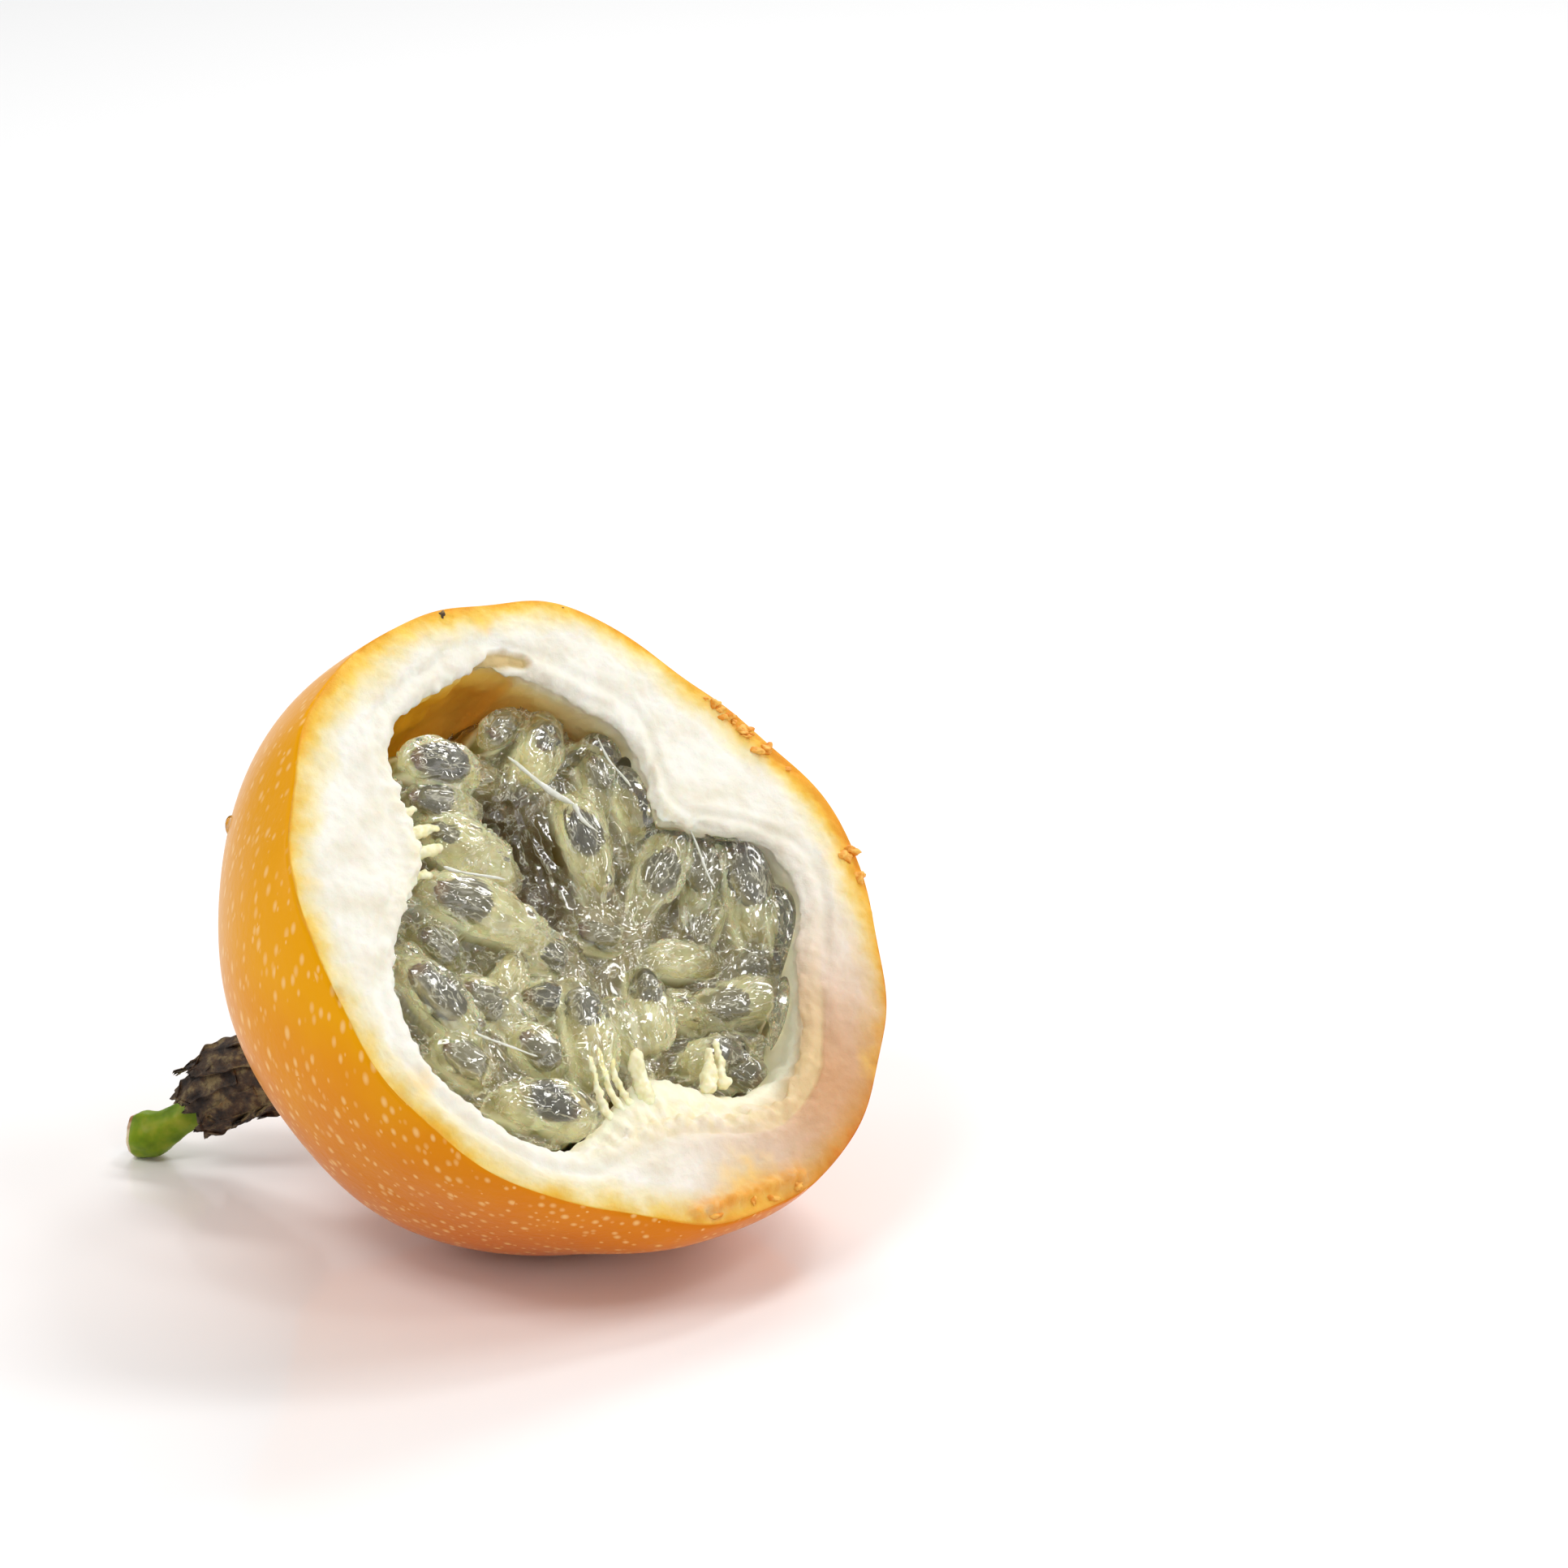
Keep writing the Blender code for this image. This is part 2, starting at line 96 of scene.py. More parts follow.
# Start x, y, end x, y, depth of the middle and width in millimetres, then where the seed lies
# along the sac and how long the seed is.
SEED_SACS = (
    (-12.6, 19.5, -2.5, 15.6, 1.5, 5.7, 0.42, 6.0),
    (-12.9, 16.0, -3.7, 12.5, 3.0, 4.7, 0.28, 4.6),
    (0.3, 19.3, 7.8, 21.8, 5.0, 4.4, 0.45, 3.6),
    (2.6, 13.6, 11.0, 20.9, 4.2, 5.5, 0.55, 4.2),
    (-12.1, 13.3, -2.9, 4.1, 4.0, 7.4, 0.22, 3.4),
    (16.5, 14.9, 10.1, 15.1, 5.0, 4.9, 0.75, 3.2),
    (12.1, 5.1, 15.6, 13.8, 3.5, 5.7, 0.68, 5.0),
    (11.5, 14.8, 10.4, 7.2, 4.2, 4.7, 0.30, 3.4),
    (6.1, 11.6, 4.6, -0.7, 3.8, 6.3, 0.36, 5.0),
    (18.0, 5.1, 7.7, -2.9, 4.2, 5.9, 0.52, 5.2),
    (20.4, 4.4, 14.8, -5.8, 4.5, 4.8, 0.42, 5.4),
    (23.0, 3.4, 19.9, -10.7, 3.8, 6.5, 0.42, 6.4),
    (25.8, 1.7, 24.8, -8.1, 5.5, 4.7, 0.45, 4.4),
    (19.1, -2.7, 12.9, -7.9, 6.6, 4.9, 0.50, 3.6),
    (-16.8, 7.0, -3.5, -2.6, 2.6, 7.1, 0.28, 5.8),
    (-18.1, 4.2, -13.4, -2.0, 5.0, 5.1, 0.45, 4.0),
    (-22.5, 0.6, -17.7, -10.8, 2.8, 5.9, 0.36, 6.4),
    (-17.0, -2.5, -8.8, -11.8, 5.0, 5.9, 0.30, 4.6),
    (-22.4, -7.4, -16.8, -14.1, 4.6, 5.3, 0.40, 4.4),
    (-8.0, -17.3, -2.5, -5.6, 3.8, 6.7, 0.62, 5.6),
    (-13.4, -9.0, -9.4, -15.6, 4.2, 5.5, 0.45, 4.4),
    (-10.4, -21.1, -17.0, -13.7, 3.8, 6.3, 0.50, 5.6),
    (1.1, -16.2, 6.3, -6.6, 4.6, 5.9, 0.68, 4.6),
    (21.5, -14.9, 8.1, -12.8, 5.8, 5.7, 0.55, 4.6),
    (4.9, -17.9, 15.7, -18.6, 5.8, 4.9, 0.55, 4.8),
    (13.8, -22.7, 9.4, -17.6, 6.6, 4.9, 0.50, 4.6),
    (1.0, -1.0, 10.6, -5.2, 7.0, 5.5, 0.30, 4.2),
    (-7.0, -0.7, -0.8, -5.4, 5.6, 6.3, 0.50, 3.6),
    (24.1, -11.3, 15.0, -10.0, 6.6, 5.1, 0.45, 4.4),
    (-9.0, -5.5, -2.0, -9.5, 6.8, 6.1, 0.40, 4.6),
)

# Gel without a seed that fills between the sacs and the wall: start, end, depth and width.
FILL_SACS = (
    (22.8, 5.2, 24.6, -5.0, 3.4, 5.0),
    (24.4, -4.0, 22.6, -15.0, 4.0, 5.4),
    (21.6, -14.0, 17.0, -20.0, 4.6, 5.0),
    (-6.0, 9.5, -10.0, 7.0, 3.6, 4.6),
    (8.2, 12.0, 7.6, 3.0, 4.6, 4.0),
    (-19.0, -14.5, -13.0, -19.5, 4.4, 4.6),
    (-21.5, 2.5, -19.0, -4.5, 4.4, 4.4),
    (6.5, -6.5, 17.0, -9.5, 5.6, 4.6),
    (-1.0, -9.0, 1.0, -18.5, 5.4, 4.4),
    (5.5, -11.0, 11.5, -15.0, 5.4, 3.8),
    (-8.0, -2.5, -16.0, -7.5, 4.4, 4.2),
    (-13.4, -20.8, -6.0, -19.0, 4.4, 4.2),
)

# Marks of the cut face: directions and spreads in degrees, spots in millimetres, with strengths.
TISSUE_SECTORS = ((266.0, 27.0, 1.0), (148.0, 20.0, 0.7), (22.0, 14.0, 0.5))
TORN_SECTORS = ((24.0, 6.0, 1.0), (14.0, 5.0, 0.6), (352.0, 7.0, 0.6), (262.0, 8.0, 0.5), (280.0, 6.0, 0.6))
WIDE_BAND_SECTORS = (
    (8.0, 36.0, 1.8), (112.0, 34.0, 1.3), (62.0, 22.0, 0.8), (268.0, 12.0, 1.4), (190.0, 20.0, 0.3),
)
HOLLOW_SECTORS = ((95.0, 42.0, 1.0),)
RECESS_SECTORS = ((106.0, 22.0, 1.0),)
# Painted shade and reflected orange light on the lower right of the cut face.
PAINTED_SHADE_SECTORS = ((300.0, 32.0, 1.0),)
SHELF_SECTORS = ((300.0, 24.0, 1.0), (262.0, 16.0, 0.5))
STAINS = (
    (3.5, 30.2, 1.7, 0.8),
    (-13.6, 30.0, 2.6, 0.9),
    (-5.5, 31.5, 2.4, 0.7),
    (14.0, 28.0, 2.4, 0.5),
    (29.0, 10.5, 2.6, 0.8),
    (-30.5, 10.0, 1.8, 0.4),
    (-29.5, -12.0, 2.2, 0.6),
    (31.0, -4.5, 2.6, 0.5),
    (0.0, -33.0, 5.0, 0.7),
    (22.0, -26.0, 3.0, 0.5),
)
NICKS = ((-33.7, -1.1, 0.9, 1.0), (-33.0, 9.0, 0.7, 0.6))
NOTCH = ((1.0, 25.0, 2.9, 25.8, 0.8), (2.9, 25.8, 4.4, 25.7, 1.0), (4.4, 25.7, 6.2, 24.9, 0.8))
FLAP = (-7.2, -33.2, 6.6, -33.4)

# Painted shade of the deep well between the sacs: start and end in the cut plane and width, in millimetres.
SHADED_WELL = (0.6, 11.6, -0.4, 1.6, 3.6)

# Relief of the cut face.
FINE_RELIEF = 0.00013
COARSE_RELIEF = 0.00028
LIP_CRUMBS = 0.00020
LIP_WAVES = 0.00035
TISSUE_RELIEF = 0.0006
TORN_RELIEF = 0.0005
NICK_DEPTH = 0.0006
NOTCH_DEPTH = 0.0008
LEDGE_HEIGHT = 0.00022
SHELF_DEPTH = 0.00035
FLAP_HEIGHT = 0.0007

# What only the looks have: gaps, layers and wrinkles of the gel, and the forms of the seeds.
SAC_SWELL = 1.03
PULP_GAP = 0.0006
LAYER_THICKNESS = 0.0030
CORE_SINK = 0.0020
CORE_GAP = 0.0010
CORE_STEP = 0.0004
CORE_TIP = 0.0002
GEL_GAP = 0.0003
GEL_RIPPLE = 0.00022
CREASE_DEPTH = 0.00028
FOLD_HEIGHT = 0.00034
COMB = 0.35
COMB_SHIFT = 0.02
SEED_WIDTH = 0.62
SEED_THICKNESS = 0.42
SEED_TAPER = 0.22
SEED_SPIN = 0.35
SEED_VEIL = 0.45
HOLLOW_RECESS = 0.0040
# Painted glow in the hollow at the top, standing in for light that comes through the rind.
RIND_GLOW = 0.11

# Fineness of the meshes.
PEEL_SEGMENTS = 600
SKIN_ROWS = 72
FACE_ROWS = 40
LIP_ROWS = 10
WALL_ROWS = 44
GEL_VOXEL = 0.0003


def direction(azimuth, elevation):
    """Unit vector at these angles in degrees."""
    azimuth, elevation = math.radians(azimuth), math.radians(elevation)
    level = math.cos(elevation)
    return np.array([level * math.cos(azimuth), level * math.sin(azimuth), math.sin(elevation)])


def unit(vectors):
    return vectors / np.linalg.norm(vectors, axis=-1, keepdims=True)


MIDDLE = np.array([0.0, 0.0, MIDDLE_HEIGHT])
CUT_NORMAL = direction(CUT_AZIMUTH, CUT_ELEVATION)
CUT_MIDDLE = MIDDLE + CUT_OFFSET * CUT_NORMAL
FACE_RIGHT = unit(np.cross([0.0, 0.0, 1.0], CUT_NORMAL))
FACE_UP = np.cross(CUT_NORMAL, FACE_RIGHT)
STEM_AXIS = direction(STEM_AZIMUTH, STEM_ELEVATION)
UNDERSIDE = direction(UNDERSIDE_AZIMUTH, UNDERSIDE_ELEVATION)


def bell(distance, spread):
    return np.exp(-((distance / spread) ** 2))


def ease(value):
    """Smooth step from 0 to 1 as the value goes from 0 to 1."""
    value = np.clip(value, 0.0, 1.0)
    return value * value * (3 - 2 * value)


def closed_curve(radii, theta):
    """Smooth closed outline in metres through radii at even angles, as a sum of waves."""
    count = len(radii)
    waves = np.fft.rfft(radii) / count
    total = np.full_like(theta, waves[0].real)
    for turn in range(1, len(waves)):
        share = 1 if 2 * turn == count else 2
        total = total + share * (waves[turn] * np.exp(1j * turn * theta)).real
    return total * MM


def angle_gap(theta, degrees):
    """Distance in degrees between an angle and a direction in the cut plane."""
    return np.degrees(np.abs((theta - math.radians(degrees) + math.pi) % (2 * math.pi) - math.pi))


def rim_radius(theta):
    ripple = np.sin(7 * theta + 0.7) + 0.7 * np.sin(11 * theta + 2.1) + 0.4 * np.sin(17 * theta)
    return closed_curve(RIM_RADII, theta) + RIM_UNEVENNESS * ripple


def mouth_radius(theta):
    return closed_curve(MOUTH_RADII, theta)


def face_point(x, y, depth):
    """Points at x, y in the cut plane and this far below it."""
    x, y, depth = np.broadcast_arrays(x, y, depth)
    return CUT_MIDDLE + x[..., None] * FACE_RIGHT + y[..., None] * FACE_UP - depth[..., None] * CUT_NORMAL


def polar_point(theta, radius, depth):
    return face_point(radius * np.cos(theta), radius * np.sin(theta), depth)


def face_place(points):
    """x, y and depth in the cut plane's own directions."""
    from_middle = points - CUT_MIDDLE
    return from_middle @ FACE_RIGHT, from_middle @ FACE_UP, -(from_middle @ CUT_NORMAL)


def noise_at(points, size, seed=0, octaves=2):
    """Smooth noise, about -1 to 1, whose bumps have this size."""
    shift = Vector((17.13 * seed, 5.71 * seed, 9.27 * seed))
    return np.array([noise.fractal(Vector(p) / size + shift, 1.0, 2.0, octaves) for p in points.tolist()])


def noise_where(chosen, points, size, seed, octaves=2):
    """Noise at the chosen points, and none at the others."""
    values = np.zeros(len(points))
    values[chosen] = noise_at(points[chosen], size, seed, octaves)
    return values


def in_scene(name, data):
    """Object with this mesh, light or camera, put in the scene."""
    thing = bpy.data.objects.new(name, data)
    bpy.context.scene.collection.objects.link(thing)
    return thing


def new_object(name, points, faces):
    """Smooth mesh object from arrays of points and of faces."""
    mesh = bpy.data.meshes.new(name)
    mesh.from_pydata(points.tolist(), [], faces)
    mesh.shade_smooth()
    return in_scene(name, mesh)


def plain_shape(create, **settings):
    """Points and faces of a simple shape that this bmesh operator makes."""
    shape = bmesh.new()
    create(shape, **settings)
    points = np.array([vertex.co[:] for vertex in shape.verts])
    faces = [[vertex.index for vertex in face.verts] for face in shape.faces]
    shape.free()
    return points, faces


def round_angles(count):
    """Even angles round a ring."""
    return np.arange(count) * 2 * math.pi / count


def in_metres(row):
    return [value * MM for value in row]


def ring_faces(rows, segments, first=0):
    """Quads between closed rings of points that follow each other."""
    faces = []
    for row in range(rows - 1):
        for column in range(segments):
            beside = (column + 1) % segments
            low, high = first + row * segments, first + (row + 1) * segments
            faces.append((low + column, high + column, high + beside, low + beside))
    return faces


def closed_rings(name, rings, start, end):
    """Closed object through rings of points, with a point at either end."""
    rows, segments = rings.shape[:2]
    points = np.vstack([rings.reshape(-1, 3), start, end])
    faces = ring_faces(rows, segments)
    last = (rows - 1) * segments
    for column in range(segments):
        beside = (column + 1) % segments
        faces.append((rows * segments, column, beside))
        faces.append((rows * segments + 1, last + beside, last + column))
    thing = new_object(name, points, faces)
    face_outwards(thing)
    return thing


def face_outwards(thing):
    """Turns the faces of a closed mesh outwards."""
    shell = bmesh.new()
    shell.from_mesh(thing.data)
    if shell.calc_volume(signed=True) < 0:
        bmesh.ops.reverse_faces(shell, faces=shell.faces)
    shell.to_mesh(thing.data)
    shell.free()


def set_attributes(thing, **rows):
    """Gives each point of the mesh a value under each of these names."""
    for name, values in rows.items():
        attribute = thing.data.attributes.new(name, "FLOAT", "POINT")
        attribute.data.foreach_set("value", np.asarray(values, np.float32))


def joined(name, things):
    """One object from several, all at the origin."""
    merged = bmesh.new()
    for thing in things:
        merged.from_mesh(thing.data)
    mesh = bpy.data.meshes.new(name)
    merged.to_mesh(mesh)
    merged.free()
    mesh.shade_smooth()
    for thing in things:
        bpy.data.objects.remove(thing)
    return in_scene(name, mesh)


def apply_modifiers(thing):
    """Makes the evaluated mesh the object's own."""
    bpy.context.view_layer.update()
    evaluated = thing.evaluated_get(bpy.context.evaluated_depsgraph_get())
    mesh = bpy.data.meshes.new_from_object(evaluated)
    thing.modifiers.clear()
    thing.data = mesh
    mesh.shade_smooth()


def vectors_of(rows, name):
    values = np.zeros(len(rows) * 3, np.float32)
    rows.foreach_get(name, values)
    return values.reshape(-1, 3).astype(float)


def smooth(thing, rounds):
    """Evens out the mesh this many times and applies all its modifiers."""
    modifier = thing.modifiers.new("soft", "SMOOTH")
    modifier.factor = 0.5
    modifier.iterations = rounds
    apply_modifiers(thing)


def points_of(thing):
    return vectors_of(thing.data.vertices, "co")


def normals_of(thing):
    return vectors_of(thing.data.vertex_normals, "vector")


def move_points(thing, points):
    thing.data.vertices.foreach_set("co", points.astype(np.float32).ravel())
    thing.data.update()


def roughen(thing, height, size, seed):
    """Moves the points of a mesh in and out by noise."""
    points = points_of(thing)
    move_points(thing, points + height * noise_at(points, size, seed)[:, None] * normals_of(thing))


def keep_piece(thing, slot, *nodes):
    """Lets a piece ride with the part and hides the solids that it stands for."""
    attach(thing, "root")
    if nodes:
        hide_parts(*nodes)


# Rind: skin, cut face and cavity wall in one shell.

def skin_ring(theta, share):
    """Ring of the skin on the arcs from the stem, share 0, to the rim, share 1."""
    to_rim = polar_point(theta, rim_radius(theta), 0) - MIDDLE
    reach = np.linalg.norm(to_rim, axis=1)
    span = np.arccos(to_rim @ STEM_AXIS / reach)
    away = np.sin((1 - share) * span)[:, None] * STEM_AXIS
    away = unit(away + (np.sin(share * span) / reach)[:, None] * to_rim)
    degrees = np.degrees(share * span)
    shoulder = SHOULDER_DIP * bell(degrees - SHOULDER_ANGLE, SHOULDER_SPREAD)
    nub = NUB_RISE * bell(degrees, NUB_SPREAD)
    underside = UNDERSIDE_DIP * np.maximum(0.0, away @ UNDERSIDE) ** 2
    radius = BODY_RADIUS * (1 - shoulder + nub - underside)
    swell = np.sin(3 * theta + 5 * share) + np.sin(5 * theta - 4 * share + 1.3)
    radius += SKIN_UNEVENNESS * swell * math.sin(math.pi * share)
    blend = ease((share - RIM_BLEND) / (1 - RIM_BLEND))
    radius += (reach - BODY_RADIUS * (1 - underside)) * blend
    ring = MIDDLE + radius[:, None] * away
    ring[:, 2] = np.maximum(0.0, ring[:, 2])
    return ring


def cavity_radius(theta, depth):
    """Radius of the cavity's wall this far below the cut plane."""
    ball = np.sqrt(np.maximum(0.0, CAVITY_RADIUS**2 - (depth - CUT_OFFSET) ** 2))
    at_mouth = math.sqrt(CAVITY_RADIUS**2 - CUT_OFFSET**2)
    lobes = (mouth_radius(theta) - at_mouth) * bell(depth, LOBE_FADE)
    slope = SLOPE_REACH * bell(angle_gap(theta, SLOPE_ANGLE), SLOPE_SPREAD) * ease(depth / SLOPE_DEPTH)
    slope *= bell(np.maximum(0.0, depth - SLOPE_DEPTH), SLOPE_FADE)
    return ball + (lobes - slope) * np.minimum(1.0, ball / at_mouth)


def marks(x, y, rows):
    """How strongly the spots of x, y, radius and strength, in millimetres, show at each place."""
    total = np.zeros_like(x)
    for spot_x, spot_y, radius, strength in rows:
        distance = np.hypot(x - spot_x * MM, y - spot_y * MM)
        total = np.maximum(total, strength * bell(distance, radius * MM))
    return total


def sector(theta, rows):
    """How strongly directions of angle, spread and strength, in degrees, count at each place."""
    total = np.zeros_like(theta)
    for angle, spread, strength in rows:
        total = np.maximum(total, strength * bell(angle_gap(theta, angle), spread))
    return total


def cut_relief(peel, points, from_rim, below):
    """Height of the torn, fuzzy pith over the plain cut, and the marks that its colours follow."""
    x, y, depth = face_place(points)
    theta, radius = np.arctan2(y, x), np.hypot(x, y)
    to_mouth = (radius - mouth_radius(theta)) / MM
    lip = bell(np.maximum(0.0, np.abs(to_mouth) - 0.6), 1.7)
    tissue = sector(theta, TISSUE_SECTORS) * bell(np.maximum(0.0, to_mouth), 2.0) * bell(below, 8.0)
    torn = sector(theta, TORN_SECTORS) * bell(np.maximum(0.0, from_rim), 1.6)
    cut = from_rim > 0
    fine = noise_where(cut, points, 0.0009, 1, 3)
    coarse = noise_where(cut, points, 0.0055, 2)
    crumbly = noise_where(cut, points, 0.0013, 3, 3)
    height = FINE_RELIEF * fine + COARSE_RELIEF * coarse
    height += (LIP_CRUMBS * lip + TISSUE_RELIEF * tissue + TORN_RELIEF * torn) * crumbly
    height += LIP_WAVES * lip * noise_where(cut, points, 0.0031, 4)
    notch = np.zeros_like(x)
    for row in NOTCH:
        *ends, width = in_metres(row)
        notch = np.maximum(notch, ease((1.2 - distance_to_line(x, y, *ends) / width) / 0.5))
    height -= NICK_DEPTH * marks(x, y, NICKS) + NOTCH_DEPTH * notch
    ledge = np.sin(to_mouth * 1.9 + 2.0 * coarse) * bell(to_mouth - 2.4, 1.5)
    height += LEDGE_HEIGHT * ledge * (to_mouth > 0)
    # The shelf is a recess; its colour mark carries painted shade.
    shelf = ease((2.6 + 0.5 * coarse - to_mouth) / 0.3) * sector(theta, SHELF_SECTORS) * bell(below, 3.0)
    height -= SHELF_DEPTH * shelf
    flap = distance_to_line(x, y, *in_metres(FLAP)) / MM
    height += FLAP_HEIGHT * bell(flap, 0.7) * (0.6 + 0.8 * crumbly)
    set_attributes(
        peel,
        stain=marks(x, y, STAINS),
        tissue=tissue,
        torn=np.maximum(torn, 0.9 * bell(flap, 1.2)),
        hollow=sector(theta, HOLLOW_SECTORS),
        blush=sector(theta, PAINTED_SHADE_SECTORS),
        notch=notch,
        wide_band=sector(theta, WIDE_BAND_SECTORS),
        shelf=shelf,
    )
    return np.where(cut, height, 0.0)


def make_peel():
    theta = round_angles(PEEL_SEGMENTS)
    rim, mouth = rim_radius(theta), mouth_radius(theta)
    rings, from_rim, below = [], [], []

    def add(ring, inward, depth):
        rings.append(ring)
        from_rim.append(np.broadcast_to(inward / MM, theta.shape))
        below.append(np.full(PEEL_SEGMENTS, depth / MM))

    for row in range(1, SKIN_ROWS + 1):
        add(skin_ring(theta, (row / SKIN_ROWS) ** 1.15), -MM, 0.0)
    width = rim - mouth - LIP_BAND
    for row in range(1, FACE_ROWS + 1):
        share = row / FACE_ROWS
        ring = polar_point(theta, rim - width * share, -FACE_CROWN * math.sin(math.pi * share))
        add(ring, width * share, 0.0)
    for row in range(1, LIP_ROWS + 1):
        turn = row / LIP_ROWS * math.pi / 2
        radius = mouth + LIP_BAND * (1 - math.sin(turn))
        depth = LIP_DEPTH * (1 - math.cos(turn))
        add(polar_point(theta, radius, depth), rim - radius, depth)
    floor_depth = CUT_OFFSET + CAVITY_RADIUS
    for row in range(1, WALL_ROWS):
        depth = LIP_DEPTH + (floor_depth - LIP_DEPTH) * math.sin((row / WALL_ROWS) ** 1.3 * math.pi / 2)
        add(polar_point(theta, cavity_radius(theta, depth), depth), rim - mouth, depth)
    pole = MIDDLE + BODY_RADIUS * (1 + NUB_RISE) * STEM_AXIS
    peel = closed_rings("peel_detail", np.array(rings), pole, face_point(0, 0, floor_depth))
    from_rim = np.concatenate([*from_rim, [-1.0, 8.0]])
    below = np.concatenate([*below, [0.0, floor_depth / MM]])
    set_attributes(peel, from_rim=from_rim, below=below)
    points, normals = points_of(peel), normals_of(peel)
    move_points(peel, points + cut_relief(peel, points, from_rim, below)[:, None] * normals)
    peel.data.materials.append(skin_material())
    peel.data.materials.append(pith_material())
    skin_end, pole_index = SKIN_ROWS * PEEL_SEGMENTS, len(rings) * PEEL_SEGMENTS
    for face in peel.data.polygons:
        on_skin = max(face.vertices) < skin_end or pole_index in face.vertices
        face.material_index = 0 if on_skin else 1
    return peel


# Pulp: a gel core, seed sacs melted into each other, and the seeds in them.

def distance_to_line(x, y, start_x, start_y, end_x, end_y):
    """Distance in the plane from points to the straight line between two others."""
    line_x, line_y = end_x - start_x, end_y - start_y
    share = ((x - start_x) * line_x + (y - start_y) * line_y) / (line_x**2 + line_y**2)
    share = np.clip(share, 0.0, 1.0)
    return np.hypot(x - start_x - share * line_x, y - start_y - share * line_y)


def core_depth(x, y):
    """Depth of the gel's top below the cut plane: it carries every sac, and has its pits."""
    depth = np.full_like(x, CORE_DEPTH)
    for row in SEED_SACS:
        *ends, sac_depth, width = in_metres(row[:6])
        clear = np.maximum(0.0, distance_to_line(x, y, *ends) - width / 4)
        depth = np.minimum(depth, sac_depth + CORE_SEAT + CORE_SLOPE * clear)
    for row in PITS:
        *ends, added, width = in_metres(row)
        depth += added * bell(distance_to_line(x, y, *ends), width)
    return depth


def sac_axis(row):
    """Start, direction, side and length of a seed sac in the cut plane."""
    start, end = np.array(row[0:2]) * MM, np.array(row[2:4]) * MM
    length = np.linalg.norm(end - start)
    along = (end - start) / length
    return start, along, np.array([-along[1], along[0]]), length


def place_on_sac(row, x, y):
    """How far places lie along a sac's axis and across it, and the sac's length."""
    start, along, side, length = sac_axis(row)
    x, y = x - start[0], y - start[1]
    return x * along[0] + y * along[1], x * side[0] + y * side[1], length


def gel_top(x, y):
    """Depth of the pulp's top, and the place across the sac there: 0 at its axis, 1 at its edge."""
    depth = core_depth(x, y)
    outline = np.ones_like(x)
    for row in SEED_SACS + FILL_SACS:
        forward, across, length = place_on_sac(row, x, y)
        share = forward / length
        inside = np.clip(share, 0.0, 1.0)
        girth = row[5] * MM * np.sqrt(inside * (1 - inside)) * (1 - (1 - SAC_TAIL) * inside)
        back = SAC_FLATNESS * np.sqrt(np.maximum(0.0, girth**2 - across**2))
        sunk = row[4] * MM + SAC_DROOP * (2 * inside - 1) * inside
        on_top = (girth > np.abs(across)) & (share == inside) & (sunk - back < depth)
        depth = np.where(on_top, sunk - back, depth)
        outline = np.where(on_top, np.abs(across) / np.maximum(girth, 1e-9), outline)
    return depth, outline


def pulp_edge(theta, gap):
    """Radius of the pulp's top, drawn back from the wall at the hollow."""
    return cavity_radius(theta, CORE_DEPTH) - gap - HOLLOW_RECESS * sector(theta, RECESS_SECTORS)


def walled_ring(theta, radius, depth, gap):
    """Ring at this depth that stays this far inside the cavity's wall."""
    return polar_point(theta, np.minimum(radius, cavity_radius(theta, depth) - gap), depth)


def make_core(segments=330, top_rows=96, side_rows=20):
    """Milky gel inside the pulp, its top a little lower than the clear gel's."""
    theta = round_angles(segments)
    edge = pulp_edge(theta, CORE_GAP)
    rings = []
    for row in range(1, top_rows + 1):
        radius = edge * row / top_rows
        depth = gel_top(radius * np.cos(theta), radius * np.sin(theta))[0] + CORE_SINK
        rings.append(walled_ring(theta, radius, depth, CORE_GAP))
    start = core_depth(edge * np.cos(theta), edge * np.sin(theta)) + CORE_SINK + CORE_STEP
    floor_depth = CUT_OFFSET + CAVITY_RADIUS - CORE_GAP
    for row in range(side_rows):
        depth = start + (floor_depth - start) * math.sin(row / side_rows * math.pi / 2)
        radius = np.maximum(CORE_TIP, cavity_radius(theta, depth) - CORE_GAP)
        rings.append(polar_point(theta, radius, depth))
    middle = gel_top(np.zeros(1), np.zeros(1))[0][0] + CORE_SINK
    ends = face_point(0, 0, middle), face_point(0, 0, floor_depth)
    core = closed_rings("gel_core", np.array(rings), *ends)
    smooth(core, 8)
    x, y, depth = face_place(points_of(core))
    # Painted shade in the deep well, stronger the deeper the core lies.
    *ends, width = in_metres(SHADED_WELL)
    shade = bell(distance_to_line(x, y, *ends), width)
    set_attributes(
        core,
        rise=(CORE_DEPTH + CORE_SINK - depth) / MM,
        outline=gel_top(x, y)[1],
        well=shade * ease((depth / MM - 3.4) / 1.8),
    )
    return core


def make_sac(row, segments=36, rows=30):
    """Seed sac: a drop whose thick end lies at its start and whose tail sinks a little."""
    start, along, side, length = sac_axis(row)
    depth, width = row[4] * MM, row[5] * MM * SAC_SWELL
    theta = round_angles(segments)
    rings = []
    for index in range(1, rows):
        turn = math.pi * index / rows
        share = (1 - math.cos(turn)) / 2
        radius = width / 2 * math.sin(turn) * (1 - (1 - SAC_TAIL) * share)
        place = start + share * length * along + (radius * np.cos(theta))[:, None] * side
        sunk = depth + SAC_DROOP * (2 * share - 1) * share
        rings.append(face_point(*place.T, sunk - SAC_FLATNESS * radius * np.sin(theta)))
    end = start + length * along
    first = face_point(start[0], start[1], depth)
    last = face_point(end[0], end[1], depth + SAC_DROOP)
    return closed_rings("sac", np.array(rings), first, last)


